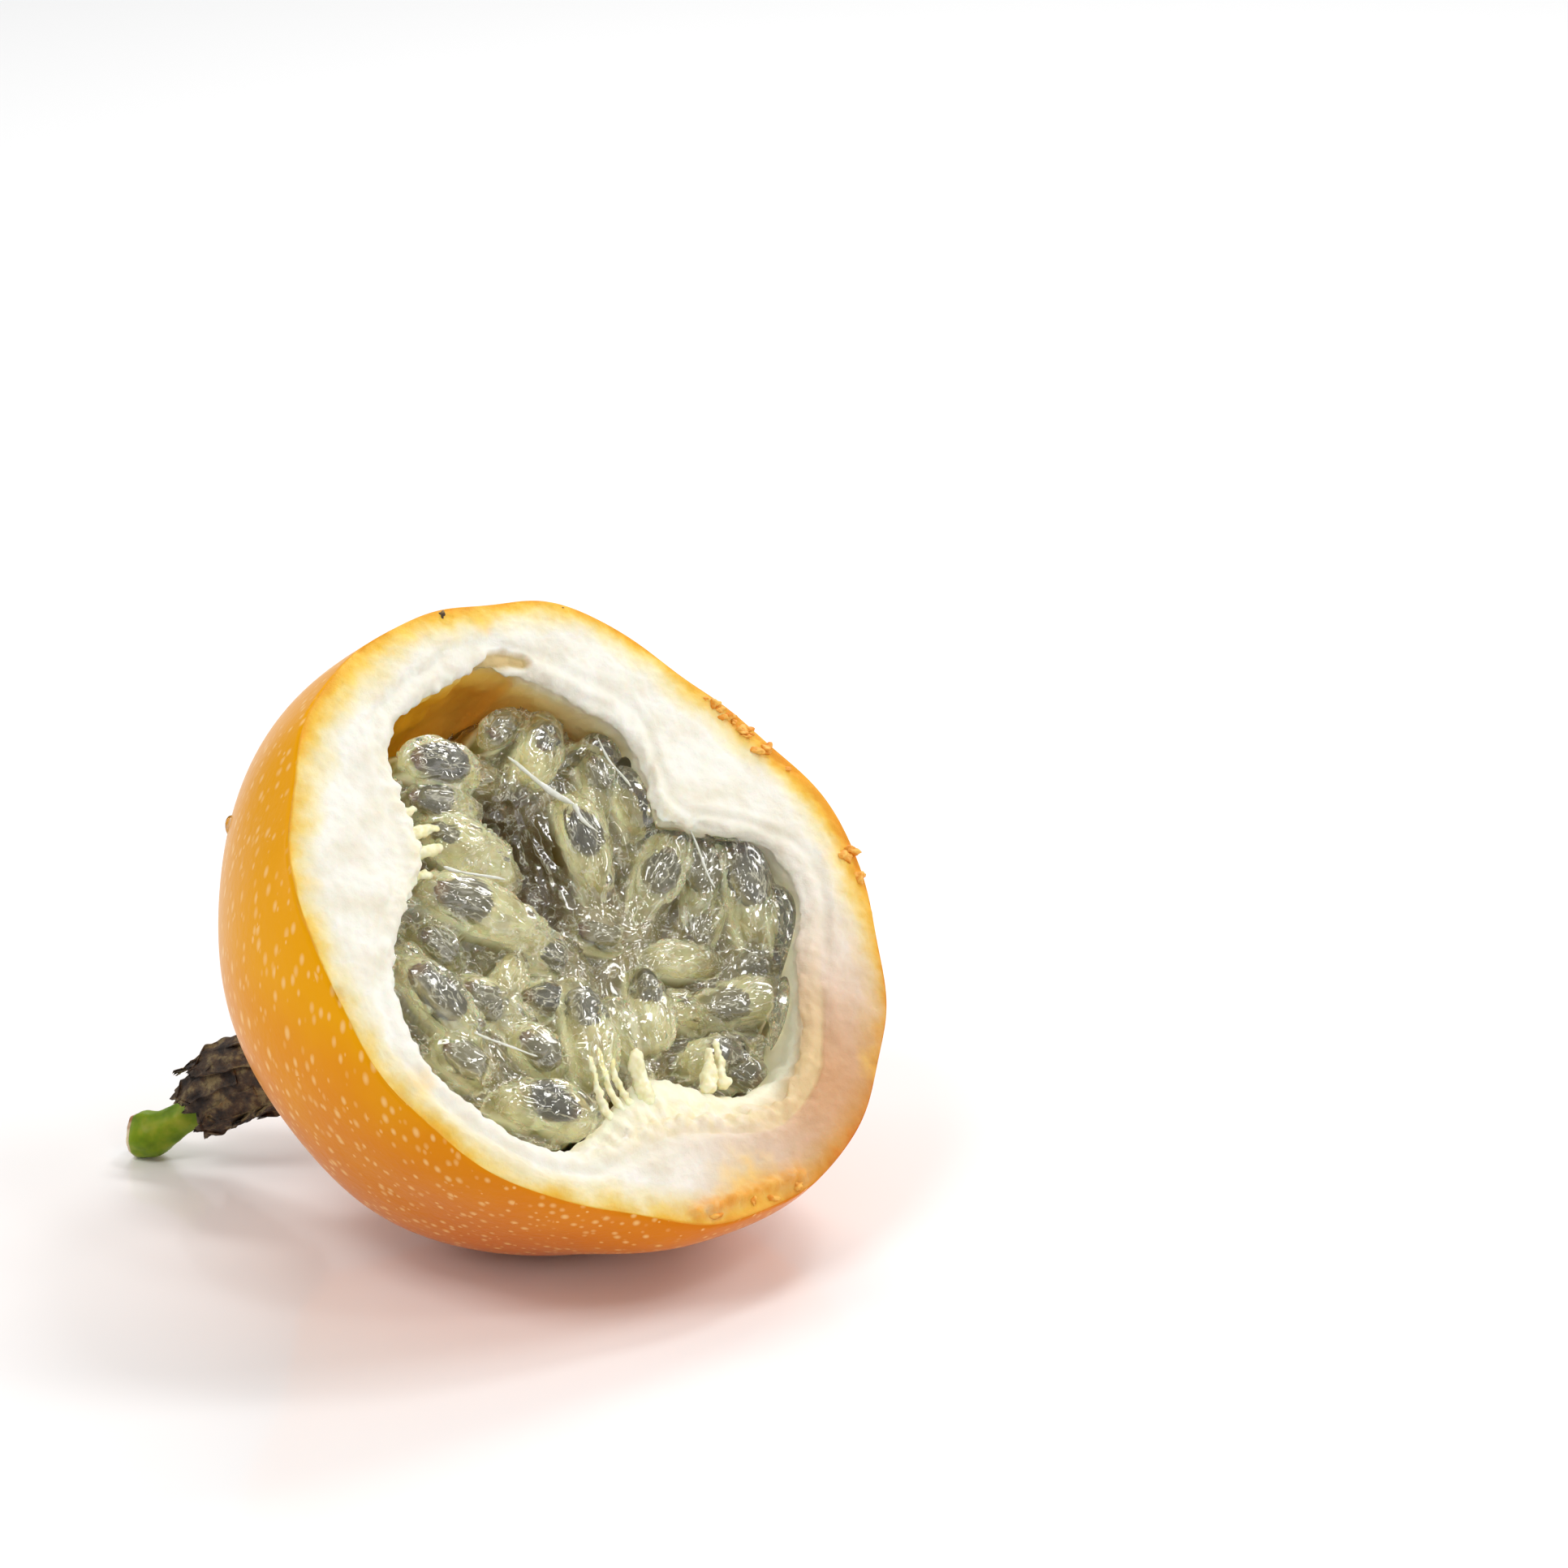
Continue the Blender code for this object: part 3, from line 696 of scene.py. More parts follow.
def make_layer(segments=200, rows=60):
    """Slab of gel under the sacs, which joins them."""
    theta = round_angles(segments)
    edge = pulp_edge(theta, PULP_GAP)
    rings = []
    for row in range(1, 2 * rows):
        share = row / rows if row <= rows else 2 - row / rows
        radius = edge * share
        depth = core_depth(radius * np.cos(theta), radius * np.sin(theta))
        if row > rows:
            depth = depth + LAYER_THICKNESS * min(1.0, 4 * (1 - share))
        rings.append(walled_ring(theta, radius, depth, PULP_GAP))
    top = core_depth(np.zeros(1), np.zeros(1))[0]
    ends = [face_point(0, 0, depth) for depth in (top, top + LAYER_THICKNESS)]
    return closed_rings("gel_layer", np.array(rings), *ends)


def combed_points(points):
    """Places in each sac's own directions, squeezed along it, for wrinkles that follow the sac."""
    x, y, depth = face_place(points)
    nearest = np.full(len(points), 1e9)
    along_sac, across_sac = x.copy(), y.copy()
    for number, row in enumerate(SEED_SACS + FILL_SACS):
        forward, across, _ = place_on_sac(row, x, y)
        reach = distance_to_line(x, y, *in_metres(row[:4])) / (row[5] * MM)
        nearer = reach < nearest
        nearest[nearer] = reach[nearer]
        along_sac[nearer] = COMB * forward[nearer] + COMB_SHIFT * number
        across_sac[nearer] = across[nearer]
    return np.stack([along_sac, across_sac, depth], axis=1)


def keep_in_cavity(points, gap):
    """Draws points that are too far out back inside the cavity's wall."""
    x, y, depth = face_place(points)
    theta, radius = np.arctan2(y, x), np.hypot(x, y)
    most = cavity_radius(theta, np.maximum(depth, LIP_DEPTH)) - gap
    radius = np.minimum(radius, most)
    return polar_point(theta, radius, depth)


def make_sacs():
    """The sacs and the gel between them as one wet skin."""
    things = [make_sac(row) for row in SEED_SACS + FILL_SACS]
    things.append(make_layer())
    gel = joined("seed_sacs", things)
    remesh = gel.modifiers.new("melt", "REMESH")
    remesh.mode = "VOXEL"
    remesh.voxel_size = GEL_VOXEL
    smooth(gel, 2)
    points, normals = points_of(gel), normals_of(gel)
    combed = combed_points(points)
    creases = 1 - np.abs(noise_at(combed, 0.0016, 3, 2)) * 2.2
    folds = 1 - np.abs(noise_at(combed, 0.0030, 8, 2)) * 6.5
    ripple = GEL_RIPPLE * noise_at(combed, 0.0022, 4, 2) - CREASE_DEPTH * np.maximum(0.0, creases) ** 2
    ripple += FOLD_HEIGHT * np.maximum(0.0, folds)
    x, y, depth = face_place(points)
    room = cavity_radius(np.arctan2(y, x), np.maximum(depth, LIP_DEPTH)) - np.hypot(x, y)
    ripple *= ease((room - 0.0008) / 0.0020)
    move_points(gel, keep_in_cavity(points + ripple[:, None] * normals, GEL_GAP))
    attribute = gel.data.attributes.new("combed", "FLOAT_VECTOR", "POINT")
    attribute.data.foreach_set("vector", combed.astype(np.float32).ravel())
    # Clear gel lets the light through to the seeds.
    gel.visible_shadow = False
    return gel


def make_seeds():
    """Flat pointed seeds, one in each sac."""
    rng = random.Random(5)
    things = []
    for number, row in enumerate(SEED_SACS):
        start, along, side, length = sac_axis(row)
        share, seed_length = row[6], row[7] * MM
        middle = start + share * length * along
        sunk = row[4] * MM + SAC_DROOP * (2 * share - 1) * share
        co, faces = plain_shape(bmesh.ops.create_uvsphere, u_segments=28, v_segments=18, radius=1)
        spin = rng.uniform(-SEED_SPIN, SEED_SPIN)
        taper = 1 - SEED_TAPER * co[:, 2]
        forward = co[:, 2] * seed_length / 2
        across = co[:, 0] * seed_length * SEED_WIDTH / 2 * taper
        up = co[:, 1] * seed_length * SEED_THICKNESS / 2 * taper
        turned = across * math.cos(spin) - up * math.sin(spin)
        lifted = across * math.sin(spin) + up * math.cos(spin)
        place = middle - forward[:, None] * along + turned[:, None] * side
        points = face_point(*place.T, sunk - lifted)
        pits = noise_at(points, 0.0006, 7, 2)
        points += (0.00006 * pits)[:, None] * unit(points - points.mean(axis=0))
        seed = new_object("seed", points, faces)
        veil = np.full(len(co), SEED_VEIL * (number * 0.382 % 1))
        # The face mark drives a painted rim sheen: paler toward the seed's outline.
        set_attributes(seed, along=co[:, 2] / 2 + 0.5, face=np.abs(co[:, 1]), veil=veil)
        things.append(seed)
    return joined("seeds", things)


# Flower base and stem.

SLEEVE_PATH = (
    (-26.1, 12.25, 12.95),
    (-29.9, 13.3, 11.2),
    (-32.9, 14.0, 9.85),
    (-35.6, 14.7, 8.1),
    (-37.7, 15.2, 6.5),
)
SLEEVE_RADII = (2.95, 3.25, 3.35, 3.2, 3.05)
STEM_PATH = (
    (-37.4, 15.1, 6.75),
    (-38.9, 15.5, 5.3),
    (-40.2, 15.8, 4.35),
    (-41.5, 16.1, 3.45),
    (-42.8, 16.45, 2.75),
    (-44.1, 16.75, 2.45),
    (-45.0, 17.0, 2.4),
)
STEM_RADII = (1.65, 1.65, 1.70, 1.95, 2.40, 2.38, 2.05)
# Dry scales: angle and spread in degrees, start and end as shares of the base, lift in mm.
BRACTS = (
    (5.0, 52.0, 0.10, 0.98, 0.30),
    (62.0, 34.0, 0.12, 0.78, 1.00),
    (105.0, 34.0, 0.10, 1.02, 0.90),
    (160.0, 44.0, 0.05, 0.95, 0.50),
    (222.0, 44.0, 0.08, 0.98, 0.50),
    (285.0, 40.0, 0.05, 0.86, 0.55),
    (325.0, 34.0, 0.35, 1.05, 0.35),
    (38.0, 26.0, 0.45, 1.06, 0.45),
    (300.0, 24.0, 0.02, 0.50, 0.80),
)
BRACT_THICKNESS = 0.00022
STRAND_SAG = 0.0003
# Pale threads that tie the sacs to the pith: start, end as x, y and depth in the cut plane, and
# the half-thickness at either end, all in millimetres.
FUNICLES = (
    ((-8.4, -14.4, 2.0), (-8.6, -21.6, 3.4), 0.22, 0.50),
    ((-7.2, -13.8, 1.9), (-7.0, -21.8, 3.2), 0.20, 0.42),
    ((-6.0, -15.0, 2.1), (-5.8, -21.8, 3.0), 0.18, 0.44),
    ((-3.0, -15.6, 1.6), (-4.2, -21.6, 2.8), 0.66, 0.95),
    ((6.0, -18.0, 2.0), (3.6, -22.0, 2.8), 0.30, 1.10),
    ((7.2, -17.4, 2.4), (6.2, -22.2, 3.2), 0.24, 0.80),
    ((-20.0, 14.6, 1.6), (-13.4, 14.2, 1.9), 1.00, 0.45),
    ((-20.0, 12.6, 1.5), (-12.2, 11.7, 1.5), 1.05, 0.50),
    ((-19.5, 10.2, 1.6), (-13.2, 9.6, 1.2), 1.00, 0.42),
    ((-19.5, 8.6, 1.8), (-15.4, 7.4, 1.5), 0.85, 0.38),
    ((15.8, 9.8, 2.0), (13.6, 5.4, 2.2), 0.50, 0.20),
)
GEL_STRINGS = (
    ((0.4, 16.6, 2.2), (3.9, 9.6, 1.0), 0.14, 0.34),
    ((3.9, 9.6, 1.0), (5.4, 6.0, 1.3), 0.30, 0.08),
    ((12.2, 15.8, 2.6), (12.2, 9.6, 1.6), 0.10, 0.14),
    ((-14.6, 7.6, 0.6), (-9.0, 4.2, -0.2), 0.16, 0.10),
    ((-19.6, -8.6, 1.8), (-14.0, -13.0, 1.8), 0.14, 0.10),
    ((16.6, 4.6, 1.4), (16.2, -3.0, 2.0), 0.10, 0.12),
)
# Direction and spread in degrees, and how many crumbs.
CRUMB_PLACES = ((25.0, 2.6, 12), (18.0, 4.0, 7), (352.0, 3.0, 4), (272.0, 6.0, 4))
SPECK_PLACES = ((90.8, 0.5, 1), (64.7, 0.5, 1))
# Direction of the juice drop from the body's middle in degrees, and its half sizes in millimetres.
DROP_ANGLES = (178.9, 17.0)
DROP_SIZE = (0.6, 0.6, 1.1)


def smooth_path(points, count):
    """Evenly spaced points on a Catmull-Rom curve through these."""
    points = np.asarray(points, float)
    padded = np.vstack([2 * points[0] - points[1], points, 2 * points[-1] - points[-2]])
    out = []
    for value in np.linspace(0, len(points) - 1, count):
        index = min(int(value), len(points) - 2)
        t = value - index
        a, b, c, d = padded[index:index + 4]
        out.append(
            0.5 * (2 * b + (c - a) * t + (2 * a - 5 * b + 4 * c - d) * t**2 + (3 * b - a - 3 * c + d) * t**3)
        )
    return np.array(out)


def smooth_spine(path, radii, count):
    """Smooth path and radii in metres, from places and radii in millimetres."""
    radii = np.array(radii)[:, None] * MM
    return smooth_path(np.array(path) * MM, count), smooth_path(radii, count)[:, 0]


def tube(name, path, radii, segments, shape=None):
    """Closed tube along a path; shape(theta, share) scales its radius."""
    path = np.asarray(path, float)
    theta = round_angles(segments)
    rings = []
    for index, middle in enumerate(path):
        forward = unit(path[min(index + 1, len(path) - 1)] - path[max(index - 1, 0)])
        side = unit(np.cross([0.0, 0.0, 1.0], forward))
        up = np.cross(forward, side)
        share = index / (len(path) - 1)
        radius = radii[index] * (shape(theta, share) if shape else np.ones(segments))
        rings.append(
            middle + (radius * np.cos(theta))[:, None] * side + (radius * np.sin(theta))[:, None] * up
        )
    return closed_rings(name, np.array(rings), path[0], path[-1])


def make_stem():
    count = 48
    path, radii = smooth_spine(STEM_PATH, STEM_RADII, count)

    def ridged(theta, share):
        return 1 + 0.025 * np.sin(5 * theta + 2 * share) + 0.015 * np.sin(9 * theta - 5 * share)

    stem = tube("stem_detail", path, radii, 64, ridged)
    rows = np.repeat(np.linspace(0, 1, count), 64)
    set_attributes(stem, along=np.concatenate([rows, [0.0, 1.0]]))
    roughen(stem, 0.00009, 0.0016, 11)
    return stem


def sleeve_place(theta, share, lift):
    """Points round the flower base's axis at this share of it and this far off its surface."""
    count = 81
    path, radii = smooth_spine(SLEEVE_PATH, SLEEVE_RADII, count)
    steps = np.linspace(0, 1, count)
    forward = unit(np.gradient(path, axis=0))
    side = unit(np.cross([0.0, 0.0, 1.0], forward))
    up = np.cross(forward, side)

    def at(values):
        inside = np.interp(share, steps, values)
        step = (values[-1] - values[-2]) * (count - 1)
        return inside + np.maximum(0.0, share - 1) * step

    middle, across, upward = (
        np.stack([at(rows[:, axis]) for axis in range(3)], axis=-1) for rows in (path, side, up)
    )
    radius = (np.interp(share, steps, radii) + lift)[..., None]
    return middle + radius * (np.cos(theta)[..., None] * across + np.sin(theta)[..., None] * upward)


def make_bract(number, angle, spread, start, end, lift):
    """Papery scale with a torn edge that wraps part of the flower base."""
    rows, columns = 44, 34
    along, across = np.meshgrid(np.linspace(0, 1, rows), np.linspace(-1, 1, columns), indexing="ij")
    seed = 3.7 * number
    tear = np.array([noise.noise(Vector((a * 2.4, seed, 0))) for a in across[0]])
    fray = np.array([noise.noise(Vector((a * 9.0, seed, 5))) for a in across[0]])
    reach = 1 + 0.16 * tear + 0.10 * fray - 0.22 * np.abs(across[0]) ** 3
    share = start + (end - start) * along * reach
    sides = 1 - 0.25 * along**2 + 0.06 * np.sin(13 * along + seed)
    theta = math.radians(angle) + math.radians(spread) * across * sides
    plain = sleeve_place(theta, share, np.zeros_like(theta))
    folds = noise_at(plain.reshape(-1, 3), 0.0013, number, 3).reshape(theta.shape)
    lifted = lift * MM * along**1.6 + 0.00030 * folds + 0.0004 * np.abs(across) ** 4 + 0.00025
    outer = sleeve_place(theta, share, lifted)
    inner = sleeve_place(theta, share, lifted - BRACT_THICKNESS)
    rings = np.concatenate([outer, inner[:, ::-1]], axis=1)
    ends = outer[0].mean(axis=0), outer[-1].mean(axis=0)
    return closed_rings("bract", rings, *ends)


def make_calyx():
    theta, share = np.meshgrid(round_angles(110), np.linspace(0, 0.97, 46), indexing="xy")
    folds = 0.00022 * np.sin(5 * theta + 5 * share) + 0.00014 * np.sin(9 * theta - 4 * share)
    rings = sleeve_place(theta, share, folds - 0.0002)
    base = closed_rings("sleeve", rings, rings[0].mean(axis=0), rings[-1].mean(axis=0))
    return joined("calyx_detail", [base] + [make_bract(n, *row) for n, row in enumerate(BRACTS)])


def make_strands(name, rows, rough, segments=22):
    """Threads between places in the cut plane, thick at one end, that sag a little."""
    things = []
    for number, (start, end, first, last) in enumerate(rows):
        share = np.linspace(0, 1, 40)
        start, end = np.array(start) * MM, np.array(end) * MM
        places = start + share[:, None] * (end - start)
        places[:, 2] += STRAND_SAG * np.sin(math.pi * share)
        path = face_point(*places.T)
        path += 0.00012 * np.sin(7 * share + number)[:, None] * FACE_RIGHT
        radii = (first + (last - first) * share) * MM * (1 + 0.12 * np.sin(11 * share + 2 * number))
        radii *= np.sqrt(np.maximum(0.04, 1 - (2 * share - 1) ** 8))
        things.append(tube(name, path, radii, segments))
    whole = joined(name, things)
    roughen(whole, rough, 0.0007, 13)
    return whole


def make_crumbs(name, places, seed, inward):
    """Shreds on the rim, about this many millimetres in from its edge."""
    rng = random.Random(seed)
    things = []
    for angle, spread, count in places:
        for _ in range(count):
            theta = np.array([math.radians(rng.gauss(angle, spread))])
            radius = rim_radius(theta) - (inward + abs(rng.gauss(0, 0.6))) * MM
            middle = polar_point(theta, radius, rng.uniform(-0.05, 0.2) * MM)[0]
            co, faces = plain_shape(bmesh.ops.create_icosphere, subdivisions=3, radius=1)
            size = rng.uniform(0.25, 0.62) * MM
            rough = 1 + 0.9 * noise_at(co + rng.uniform(0, 50), 1.1, 1, 3)
            scale = np.array([rng.uniform(0.7, 1.5), rng.uniform(0.7, 1.3), rng.uniform(0.5, 1.0)])
            things.append(new_object("crumb", middle + co * rough[:, None] * size * scale, faces))
    return joined(name, things)


def make_drop():
    """Drop of clear juice on the skin."""
    co, faces = plain_shape(bmesh.ops.create_icosphere, subdivisions=4, radius=1)
    middle = MIDDLE + 0.988 * BODY_RADIUS * direction(*DROP_ANGLES)
    return new_object("skin_drop", middle + co * (1 - 0.2 * co[:, 2:]) * np.array(DROP_SIZE) * MM, faces)


# Materials.

def srgb(red, green, blue):
    """Linear colour from 8-bit sRGB values."""
    out = []
    for value in (red, green, blue):
        value = value / 255
        out.append(value / 12.92 if value <= 0.04045 else ((value + 0.055) / 1.055) ** 2.4)
    return (*out, 1.0)


class Shading:
    """A material's node tree, with a short way to add nodes and join them."""

    def __init__(self, name):
        self.material = bpy.data.materials.new(name)
        self.material.use_nodes = True
        self.tree = self.material.node_tree
        self.shader = self.tree.nodes["Principled BSDF"]

    def add(self, kind, inputs=None, **settings):
        node = self.tree.nodes.new("ShaderNode" + kind)
        for key, value in settings.items():
            setattr(node, key, value)
        for key, value in (inputs or {}).items():
            self.put(node.inputs[key], value)
        return node

    def put(self, socket, value):
        if isinstance(value, bpy.types.NodeSocket):
            self.tree.links.new(value, socket)
        else:
            socket.default_value = value

    def set(self, **values):
        for key, value in values.items():
            self.put(self.shader.inputs[key.replace("_", " ")], value)

    def place(self):
        return self.add("TexCoord").outputs["Object"]

    def noise(self, size, detail=3, place=None, roughness=0.5):
        node = self.add("TexNoise", {"Scale": 1 / size, "Detail": detail, "Roughness": roughness})
        self.put(node.inputs["Vector"], place or self.place())
        return node.outputs["Fac"]

    def ramp(self, value, *stops):
        """Stops of position, red, green and blue in 8-bit sRGB, or of position and one linear grey."""
        node = self.add("ValToRGB", {"Fac": value})
        elements = node.color_ramp.elements
        while len(elements) < len(stops):
            elements.new(0.5)
        for element, (position, *tone) in zip(elements, stops):
            element.position = position
            element.color = srgb(*tone) if len(tone) == 3 else (*tone * 3, 1)
        return node.outputs["Color"]

    def mix(self, share, first, second, blend="MIX"):
        node = self.add("Mix", data_type="RGBA", blend_type=blend)
        self.put(node.inputs["Factor"], share)
        self.put(node.inputs[6], first)
        self.put(node.inputs[7], second)
        return node.outputs[2]

    def math(self, operation, first, second=0.0):
        node = self.add("Math", operation=operation)
        self.put(node.inputs[0], first)
        self.put(node.inputs[1], second)
        return node.outputs[0]

    def times(self, first, second):
        return self.math("MULTIPLY", first, second)

    def plus(self, first, second):
        return self.math("ADD", first, second)

    def attribute(self, name):
        return self.add("Attribute", attribute_name=name).outputs["Fac"]

    def scaled(self, value, low, high):
        """The value's share of the way from low to high, kept within 0 and 1."""
        node = self.add("MapRange", {"Value": value, "From Min": low, "From Max": high})
        return node.outputs["Result"]

    def bump(self, height, strength, distance):
        node = self.add("Bump", {"Height": height, "Strength": strength, "Distance": distance})
        self.put(self.shader.inputs["Normal"], node.outputs["Normal"])


def skin_material():
    look = Shading("skin_waxy_orange")
    patches = look.noise(0.012, 3)
    # Darker and redder towards the bottom: partly the skin's own tone, partly painted shade.
    height = look.add("SeparateXYZ", {"Vector": look.place()}).outputs["Z"]
    raised = look.plus(look.scaled(height, 0.004, 0.044), look.times(patches, 0.5))
    base = look.ramp(raised, (0.2, 213, 110, 0), (0.65, 227, 136, 2), (1.0, 238, 163, 4))
    turned = look.add("Mapping", {"Vector": look.place(), "Scale": (1, 1, 0.55)})
    cells = look.add("TexVoronoi", {"Vector": turned.outputs["Vector"], "Scale": 1020})
    size = look.add("SeparateColor", {"Color": cells.outputs["Color"]}).outputs["Red"]
    near = look.math("DIVIDE", cells.outputs["Distance"], look.plus(0.35, size))
    dots = look.ramp(near, (0.13, 0.8), (0.38, 0.0))
    colour = look.mix(dots, base, srgb(250, 200, 124))
    look.set(Base_Color=colour, Roughness=0.28, Specular_IOR_Level=0.08)
    look.set(Sheen_Weight=0.12, Sheen_Roughness=0.3, Sheen_Tint=srgb(255, 226, 204))
    look.bump(look.plus(look.noise(0.0009, 3), look.times(dots, 0.3)), 0.25, 0.0002)
    return look.material


def pith_material():
    look = Shading("pith_white")
    from_rim = look.attribute("from_rim")
    below = look.attribute("below")
    clouds = look.noise(0.004, 4)
    base = look.ramp(clouds, (0.3, 230, 223, 204), (0.6, 241, 238, 227))
    wander = look.times(look.math("SUBTRACT", look.noise(0.005, 5, roughness=0.6), 0.5), 5.0)
    inward = look.math("SUBTRACT", look.plus(from_rim, wander), look.attribute("wide_band"))
    edge = look.scaled(inward, -1.3, 3.4)
    pale = (0.38, 252, 225, 140), (0.62, 253, 243, 206), (1.0, 255, 255, 255)
    band = look.ramp(edge, (0.0, 244, 172, 24), (0.20, 250, 202, 72), *pale)
    colour = look.mix(1.0, base, band, "MULTIPLY")
    orange = (0.5, 255, 214, 92), (1.0, 255, 182, 24)
    deep = look.ramp(look.scaled(below, 1.0, 8.0), (0.0, 236, 226, 184), (0.22, 238, 218, 146), *orange)
    # Painted shade and reflected orange light tint the pith tan on the lower right of the cut face.
    rind = look.mix(look.attribute("blush"), (1, 1, 1, 1), srgb(218, 168, 128))
    colour = look.mix(1.0, colour, rind, "MULTIPLY")
    stained = look.scaled(look.times(look.attribute("stain"), look.noise(0.002, 4)), 0.12, 0.5)
    torn = look.times(look.attribute("torn"), look.ramp(look.noise(0.0012, 4), (0.3, 0.4), (0.6, 1.0)))
    fluff = look.ramp(look.noise(0.0014, 4), (0.35, 255, 253, 240), (0.6, 249, 238, 190))
    for share, strength, tone in (
        (stained, 0.85, srgb(251, 205, 84)),
        (torn, 1.0, srgb(226, 150, 36)),
        (look.attribute("tissue"), 0.85, fluff),
        (look.attribute("notch"), 0.85, srgb(200, 168, 96)),
        # Painted shade: darker tan in the shelf's recess.
        (look.attribute("shelf"), 0.7, srgb(226, 202, 150)),
    ):
        colour = look.mix(look.times(share, strength), colour, tone)
    pale_wall = look.ramp(look.scaled(below, 1.0, 9.0), (0.0, 250, 245, 222), (1.0, 242, 232, 186))
    colour_wall = look.mix(look.attribute("hollow"), pale_wall, deep)
    colour = look.mix(look.scaled(below, 0.8, 2.6), colour, colour_wall)
    look.set(Base_Color=colour, Roughness=0.75, Subsurface_Weight=0.25, Subsurface_Scale=0.0015)
    # Painted glow: emission stands in for light coming through the thin rind.
    painted_glow_share = look.times(look.attribute("hollow"), look.scaled(below, 1.2, 4.0))
    look.set(Emission_Color=srgb(244, 158, 20), Emission_Strength=look.times(painted_glow_share, RIND_GLOW))
    look.bump(look.noise(0.0005, 5, roughness=0.7), 0.5, 0.00025)
    return look.material


def gel_material():
    look = Shading("gel_clear")
    clouds = look.noise(0.003, 3)
    colour = look.ramp(clouds, (0.3, 247, 241, 204), (0.7, 254, 252, 234))
    combed = look.add("Attribute", attribute_name="combed").outputs["Vector"]
    folds = look.noise(0.0014, 3, combed, 0.6)
    ridges = look.math("ABSOLUTE", look.math("SUBTRACT", folds, 0.5))
    # Milky lines along the folds: partly the membrane's own whitish film, partly painted highlights.
    clear = look.ramp(ridges, (0.0, 0.55), (0.03, 0.95))
    look.set(Base_Color=colour, Roughness=0.20, IOR=1.40, Transmission_Weight=clear)
    look.set(Coat_Weight=1.0, Coat_Roughness=0.04, Coat_IOR=1.85)
    look.bump(look.plus(ridges, look.times(look.noise(0.0012, 2), 0.5)), 0.5, 0.0005)
    return look.material


def core_material():
    look = Shading("gel_core_olive")
    # Painted shade: the core is darker and browner the lower it lies below the sacs.
    rise = look.plus(look.attribute("rise"), look.times(look.noise(0.0025, 3), 1.5))
    low = (0.0, 44, 34, 8), (0.34, 84, 72, 24), (0.52, 122, 112, 56)
    colour = look.ramp(look.scaled(rise, -4.0, 7.0), *low, (0.68, 154, 150, 98), (1.0, 188, 186, 142))
    streaks = look.ramp(look.noise(0.0015, 4, roughness=0.6), (0.42, 255, 255, 255), (0.66, 196, 188, 138))
    colour = look.mix(0.8, colour, streaks, "MULTIPLY")
    patches = look.ramp(look.noise(0.0052, 2), (0.38, 196, 182, 120), (0.58, 255, 255, 255))
    colour = look.mix(0.7, colour, patches, "MULTIPLY")
    outline = look.attribute("outline")
    # Painted shade: darker olive in the gaps between the sacs.
    painted_gap_shade = look.ramp(outline, (0.88, 0.0), (1.0, 0.6))
    # Painted light: pale rims along the sacs' edges stand in for light refracted through the gel.
    painted_rim_light = look.ramp(outline, (0.50, 0.0), (0.82, 0.75), (0.97, 0.0))
    # Painted shade: dark brown in the deep well between the sacs.
    well = look.ramp(look.attribute("well"), (0.2, 0.0), (0.6, 0.96))
    for share, tone in (painted_gap_shade, (108, 90, 28)), (painted_rim_light, (236, 235, 202)), (well, (78, 56, 8)):
        colour = look.mix(share, colour, srgb(*tone))
    look.set(Base_Color=colour, Roughness=0.3, Subsurface_Weight=0.6, Subsurface_Scale=0.0012)
    return look.material


def seed_material():
    look = Shading("seed_slate")
    clouds = look.noise(0.0012, 3)
    # Painted rim sheen: the seed is paler toward its outline, where the gel over its edge would shine.
    face = look.plus(look.attribute("face"), look.times(clouds, 0.6))
    colour = look.ramp(face, (0.35, 150, 142, 98), (0.62, 84, 76, 48), (0.95, 38, 34, 22), (1.0, 34, 30, 18))
    tip = look.ramp(look.attribute("along"), (0.80, 0.0), (0.97, 1.0))
    colour = look.mix(look.attribute("veil"), colour, srgb(142, 134, 90))
    look.set(Base_Color=look.mix(tip, colour, srgb(96, 62, 26)), Roughness=0.3)
    return look.material


def calyx_material():
    look = Shading("calyx_brown")
    clouds = look.noise(0.0016, 5, roughness=0.6)
    colour = look.ramp(clouds, (0.38, 34, 24, 18), (0.52, 78, 60, 42), (0.64, 130, 114, 76))
    look.set(Base_Color=colour, Roughness=0.7)
    look.bump(look.noise(0.0006, 5), 0.6, 0.0003)
    return look.material


def stem_material():
    look = Shading("stem_green")
    clouds = look.noise(0.0022, 4)
    colour = look.ramp(clouds, (0.3, 90, 118, 8), (0.5, 118, 144, 18), (0.7, 152, 158, 44))
    cut = look.ramp(look.attribute("along"), (0.925, 0.0), (0.945, 1.0))
    colour = look.mix(cut, colour, look.ramp(clouds, (0.35, 150, 104, 66), (0.6, 222, 206, 172)))
    look.set(Base_Color=colour, Roughness=0.42, Specular_IOR_Level=0.2)
    look.set(Subsurface_Weight=0.15, Subsurface_Scale=0.001)
    look.bump(look.noise(0.0005, 3), 0.25, 0.0001)
    return look.material


def two_toned(name, size, detail, first, second, **settings):
    """Material whose colour wanders between two tones."""
    look = Shading(name)
    look.set(Base_Color=look.ramp(look.noise(size, detail), first, second), **settings)
    return look.material


def funicle_material():
    tones = (0.3, 238, 230, 172), (0.7, 250, 247, 218)
    soft = {"Subsurface_Weight": 0.3, "Subsurface_Scale": 0.0008}
    return two_toned("funicle_pale", 0.0008, 3, *tones, Roughness=0.25, **soft)


def string_material():
    tones = (0.3, 238, 238, 220), (0.7, 254, 254, 248)
    return two_toned("gel_string", 0.0008, 2, *tones, Roughness=0.06, IOR=1.42, Transmission_Weight=0.2)


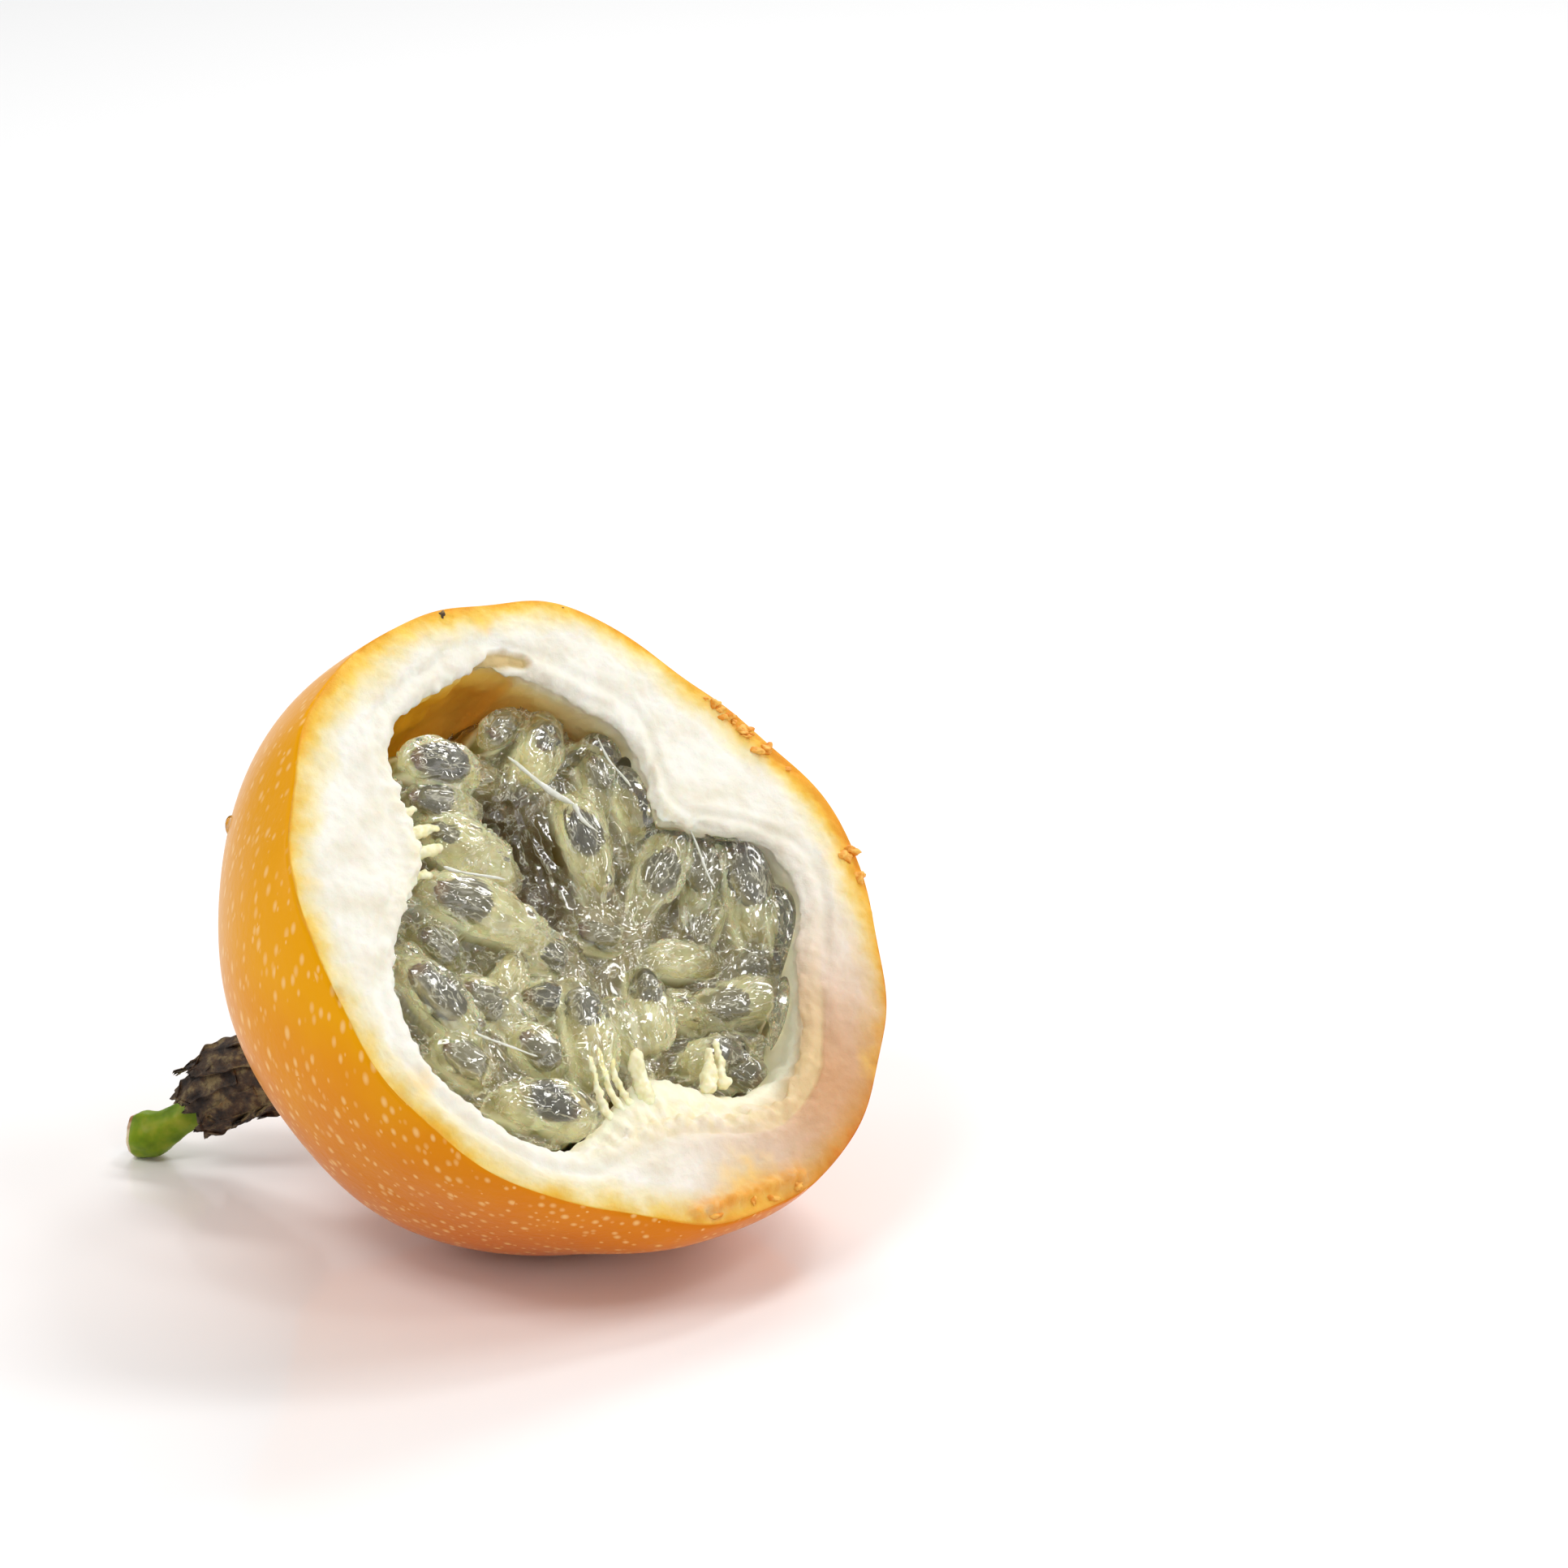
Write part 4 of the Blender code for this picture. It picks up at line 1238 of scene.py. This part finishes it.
def crumb_material():
    return two_toned("crumb_orange", 0.0009, 2, (0.4, 226, 140, 22), (0.6, 244, 186, 84), Roughness=0.6)


def speck_material():
    return two_toned("speck_brown", 0.0006, 2, (0.4, 70, 54, 36), (0.6, 140, 112, 70), Roughness=0.7)


def drop_material():
    tones = (0.3, 250, 250, 244), (0.7, 255, 255, 252)
    return two_toned("juice_drop", 0.001, 2, *tones, Roughness=0.02, IOR=1.34, Transmission_Weight=1.0)


def floor_material():
    return two_toned("floor_white", 0.2, 1, (0.0, 0.96), (1.0, 0.97), Roughness=0.12)


# Camera, lights and floor.

CAMERA_PLACE = (0.02184, -0.57801, 0.25718)
CAMERA_ELEVATION = 20.0
FOCAL_LENGTH = 144.41
SENSOR = 36.0
WORLD_STRENGTH = 0.40
FLOOR_REACH = 3.0
LIGHT_AIM = 0.03
# Name, place, size in metres and power in watts.
SOFT_BOXES = (
    ("key", (-0.30, -0.40, 0.75), (0.32, 0.24), 2.05),
    ("back", (0.10, 0.60, 0.55), (0.50, 0.10), 2.6),
    ("left", (-0.75, 0.10, 0.30), (0.16, 0.50), 1.1),
    ("right", (0.62, 0.13, 0.51), (0.24, 0.28), 1.45),
    ("front", (0.30, -0.80, 0.45), (0.16, 0.16), 0.7),
    ("glint_low", (0.74, -0.29, 0.24), (0.13, 0.13), 0.85),
    ("glint_high", (0.30, 0.24, 0.74), (0.15, 0.15), 1.05),
    ("glint_left", (0.40, -0.36, 0.66), (0.10, 0.10), 0.45),
)


def make_camera():
    data = bpy.data.cameras.new("camera")
    data.lens = FOCAL_LENGTH
    data.sensor_width = SENSOR
    camera = in_scene("camera", data)
    camera.location = CAMERA_PLACE
    camera.rotation_euler = (math.radians(90 - CAMERA_ELEVATION), 0, 0)
    bpy.context.scene.camera = camera


def make_area_light(name, place, size, power):
    """Soft box that points at the fruit."""
    data = bpy.data.lights.new(name, "AREA")
    data.shape = "RECTANGLE"
    data.size, data.size_y = size
    data.energy = power
    light = in_scene(name, data)
    light.location = place
    aim = Vector((0, 0, LIGHT_AIM)) - Vector(place)
    light.rotation_euler = aim.to_track_quat("-Z", "Y").to_euler()


def make_stage():
    grid = plain_shape(bmesh.ops.create_grid, x_segments=2, y_segments=2, size=FLOOR_REACH)
    floor = new_object("floor", *grid)
    floor.data.materials.append(floor_material())
    world = bpy.data.worlds.new("studio")
    bpy.context.scene.world = world
    world.use_nodes = True
    background = world.node_tree.nodes["Background"].inputs
    background["Color"].default_value = (1, 1, 1, 1)
    background["Strength"].default_value = WORLD_STRENGTH
    for name, place, size, power in SOFT_BOXES:
        make_area_light(name, place, size, power)


def main():
    bpy.context.scene.view_settings.view_transform = "Standard"
    make_camera()
    make_stage()
    keep_piece(make_peel(), "rind", "peel")
    for piece, material, slot, *nodes in (
        (make_core(), core_material(), "gel", "pulp"),
        (make_sacs(), gel_material(), "gel", "pulp"),
        (make_seeds(), seed_material(), "seed"),
        (make_strands("funicles", FUNICLES, 0.00028), funicle_material(), "gel"),
        (make_strands("gel_strings", GEL_STRINGS, 0.00006), string_material(), "gel"),
        (make_crumbs("rim_crumbs", CRUMB_PLACES, 11, 0.45), crumb_material(), "rind"),
        (make_crumbs("rim_specks", SPECK_PLACES, 3, -0.1), speck_material(), "calyx"),
        (make_drop(), drop_material(), "gel"),
        (make_calyx(), calyx_material(), "calyx", "dried_calyx"),
        (make_stem(), stem_material(), "stem", "stem"),
    ):
        piece.data.materials.append(material)
        keep_piece(piece, slot, *nodes)


main()
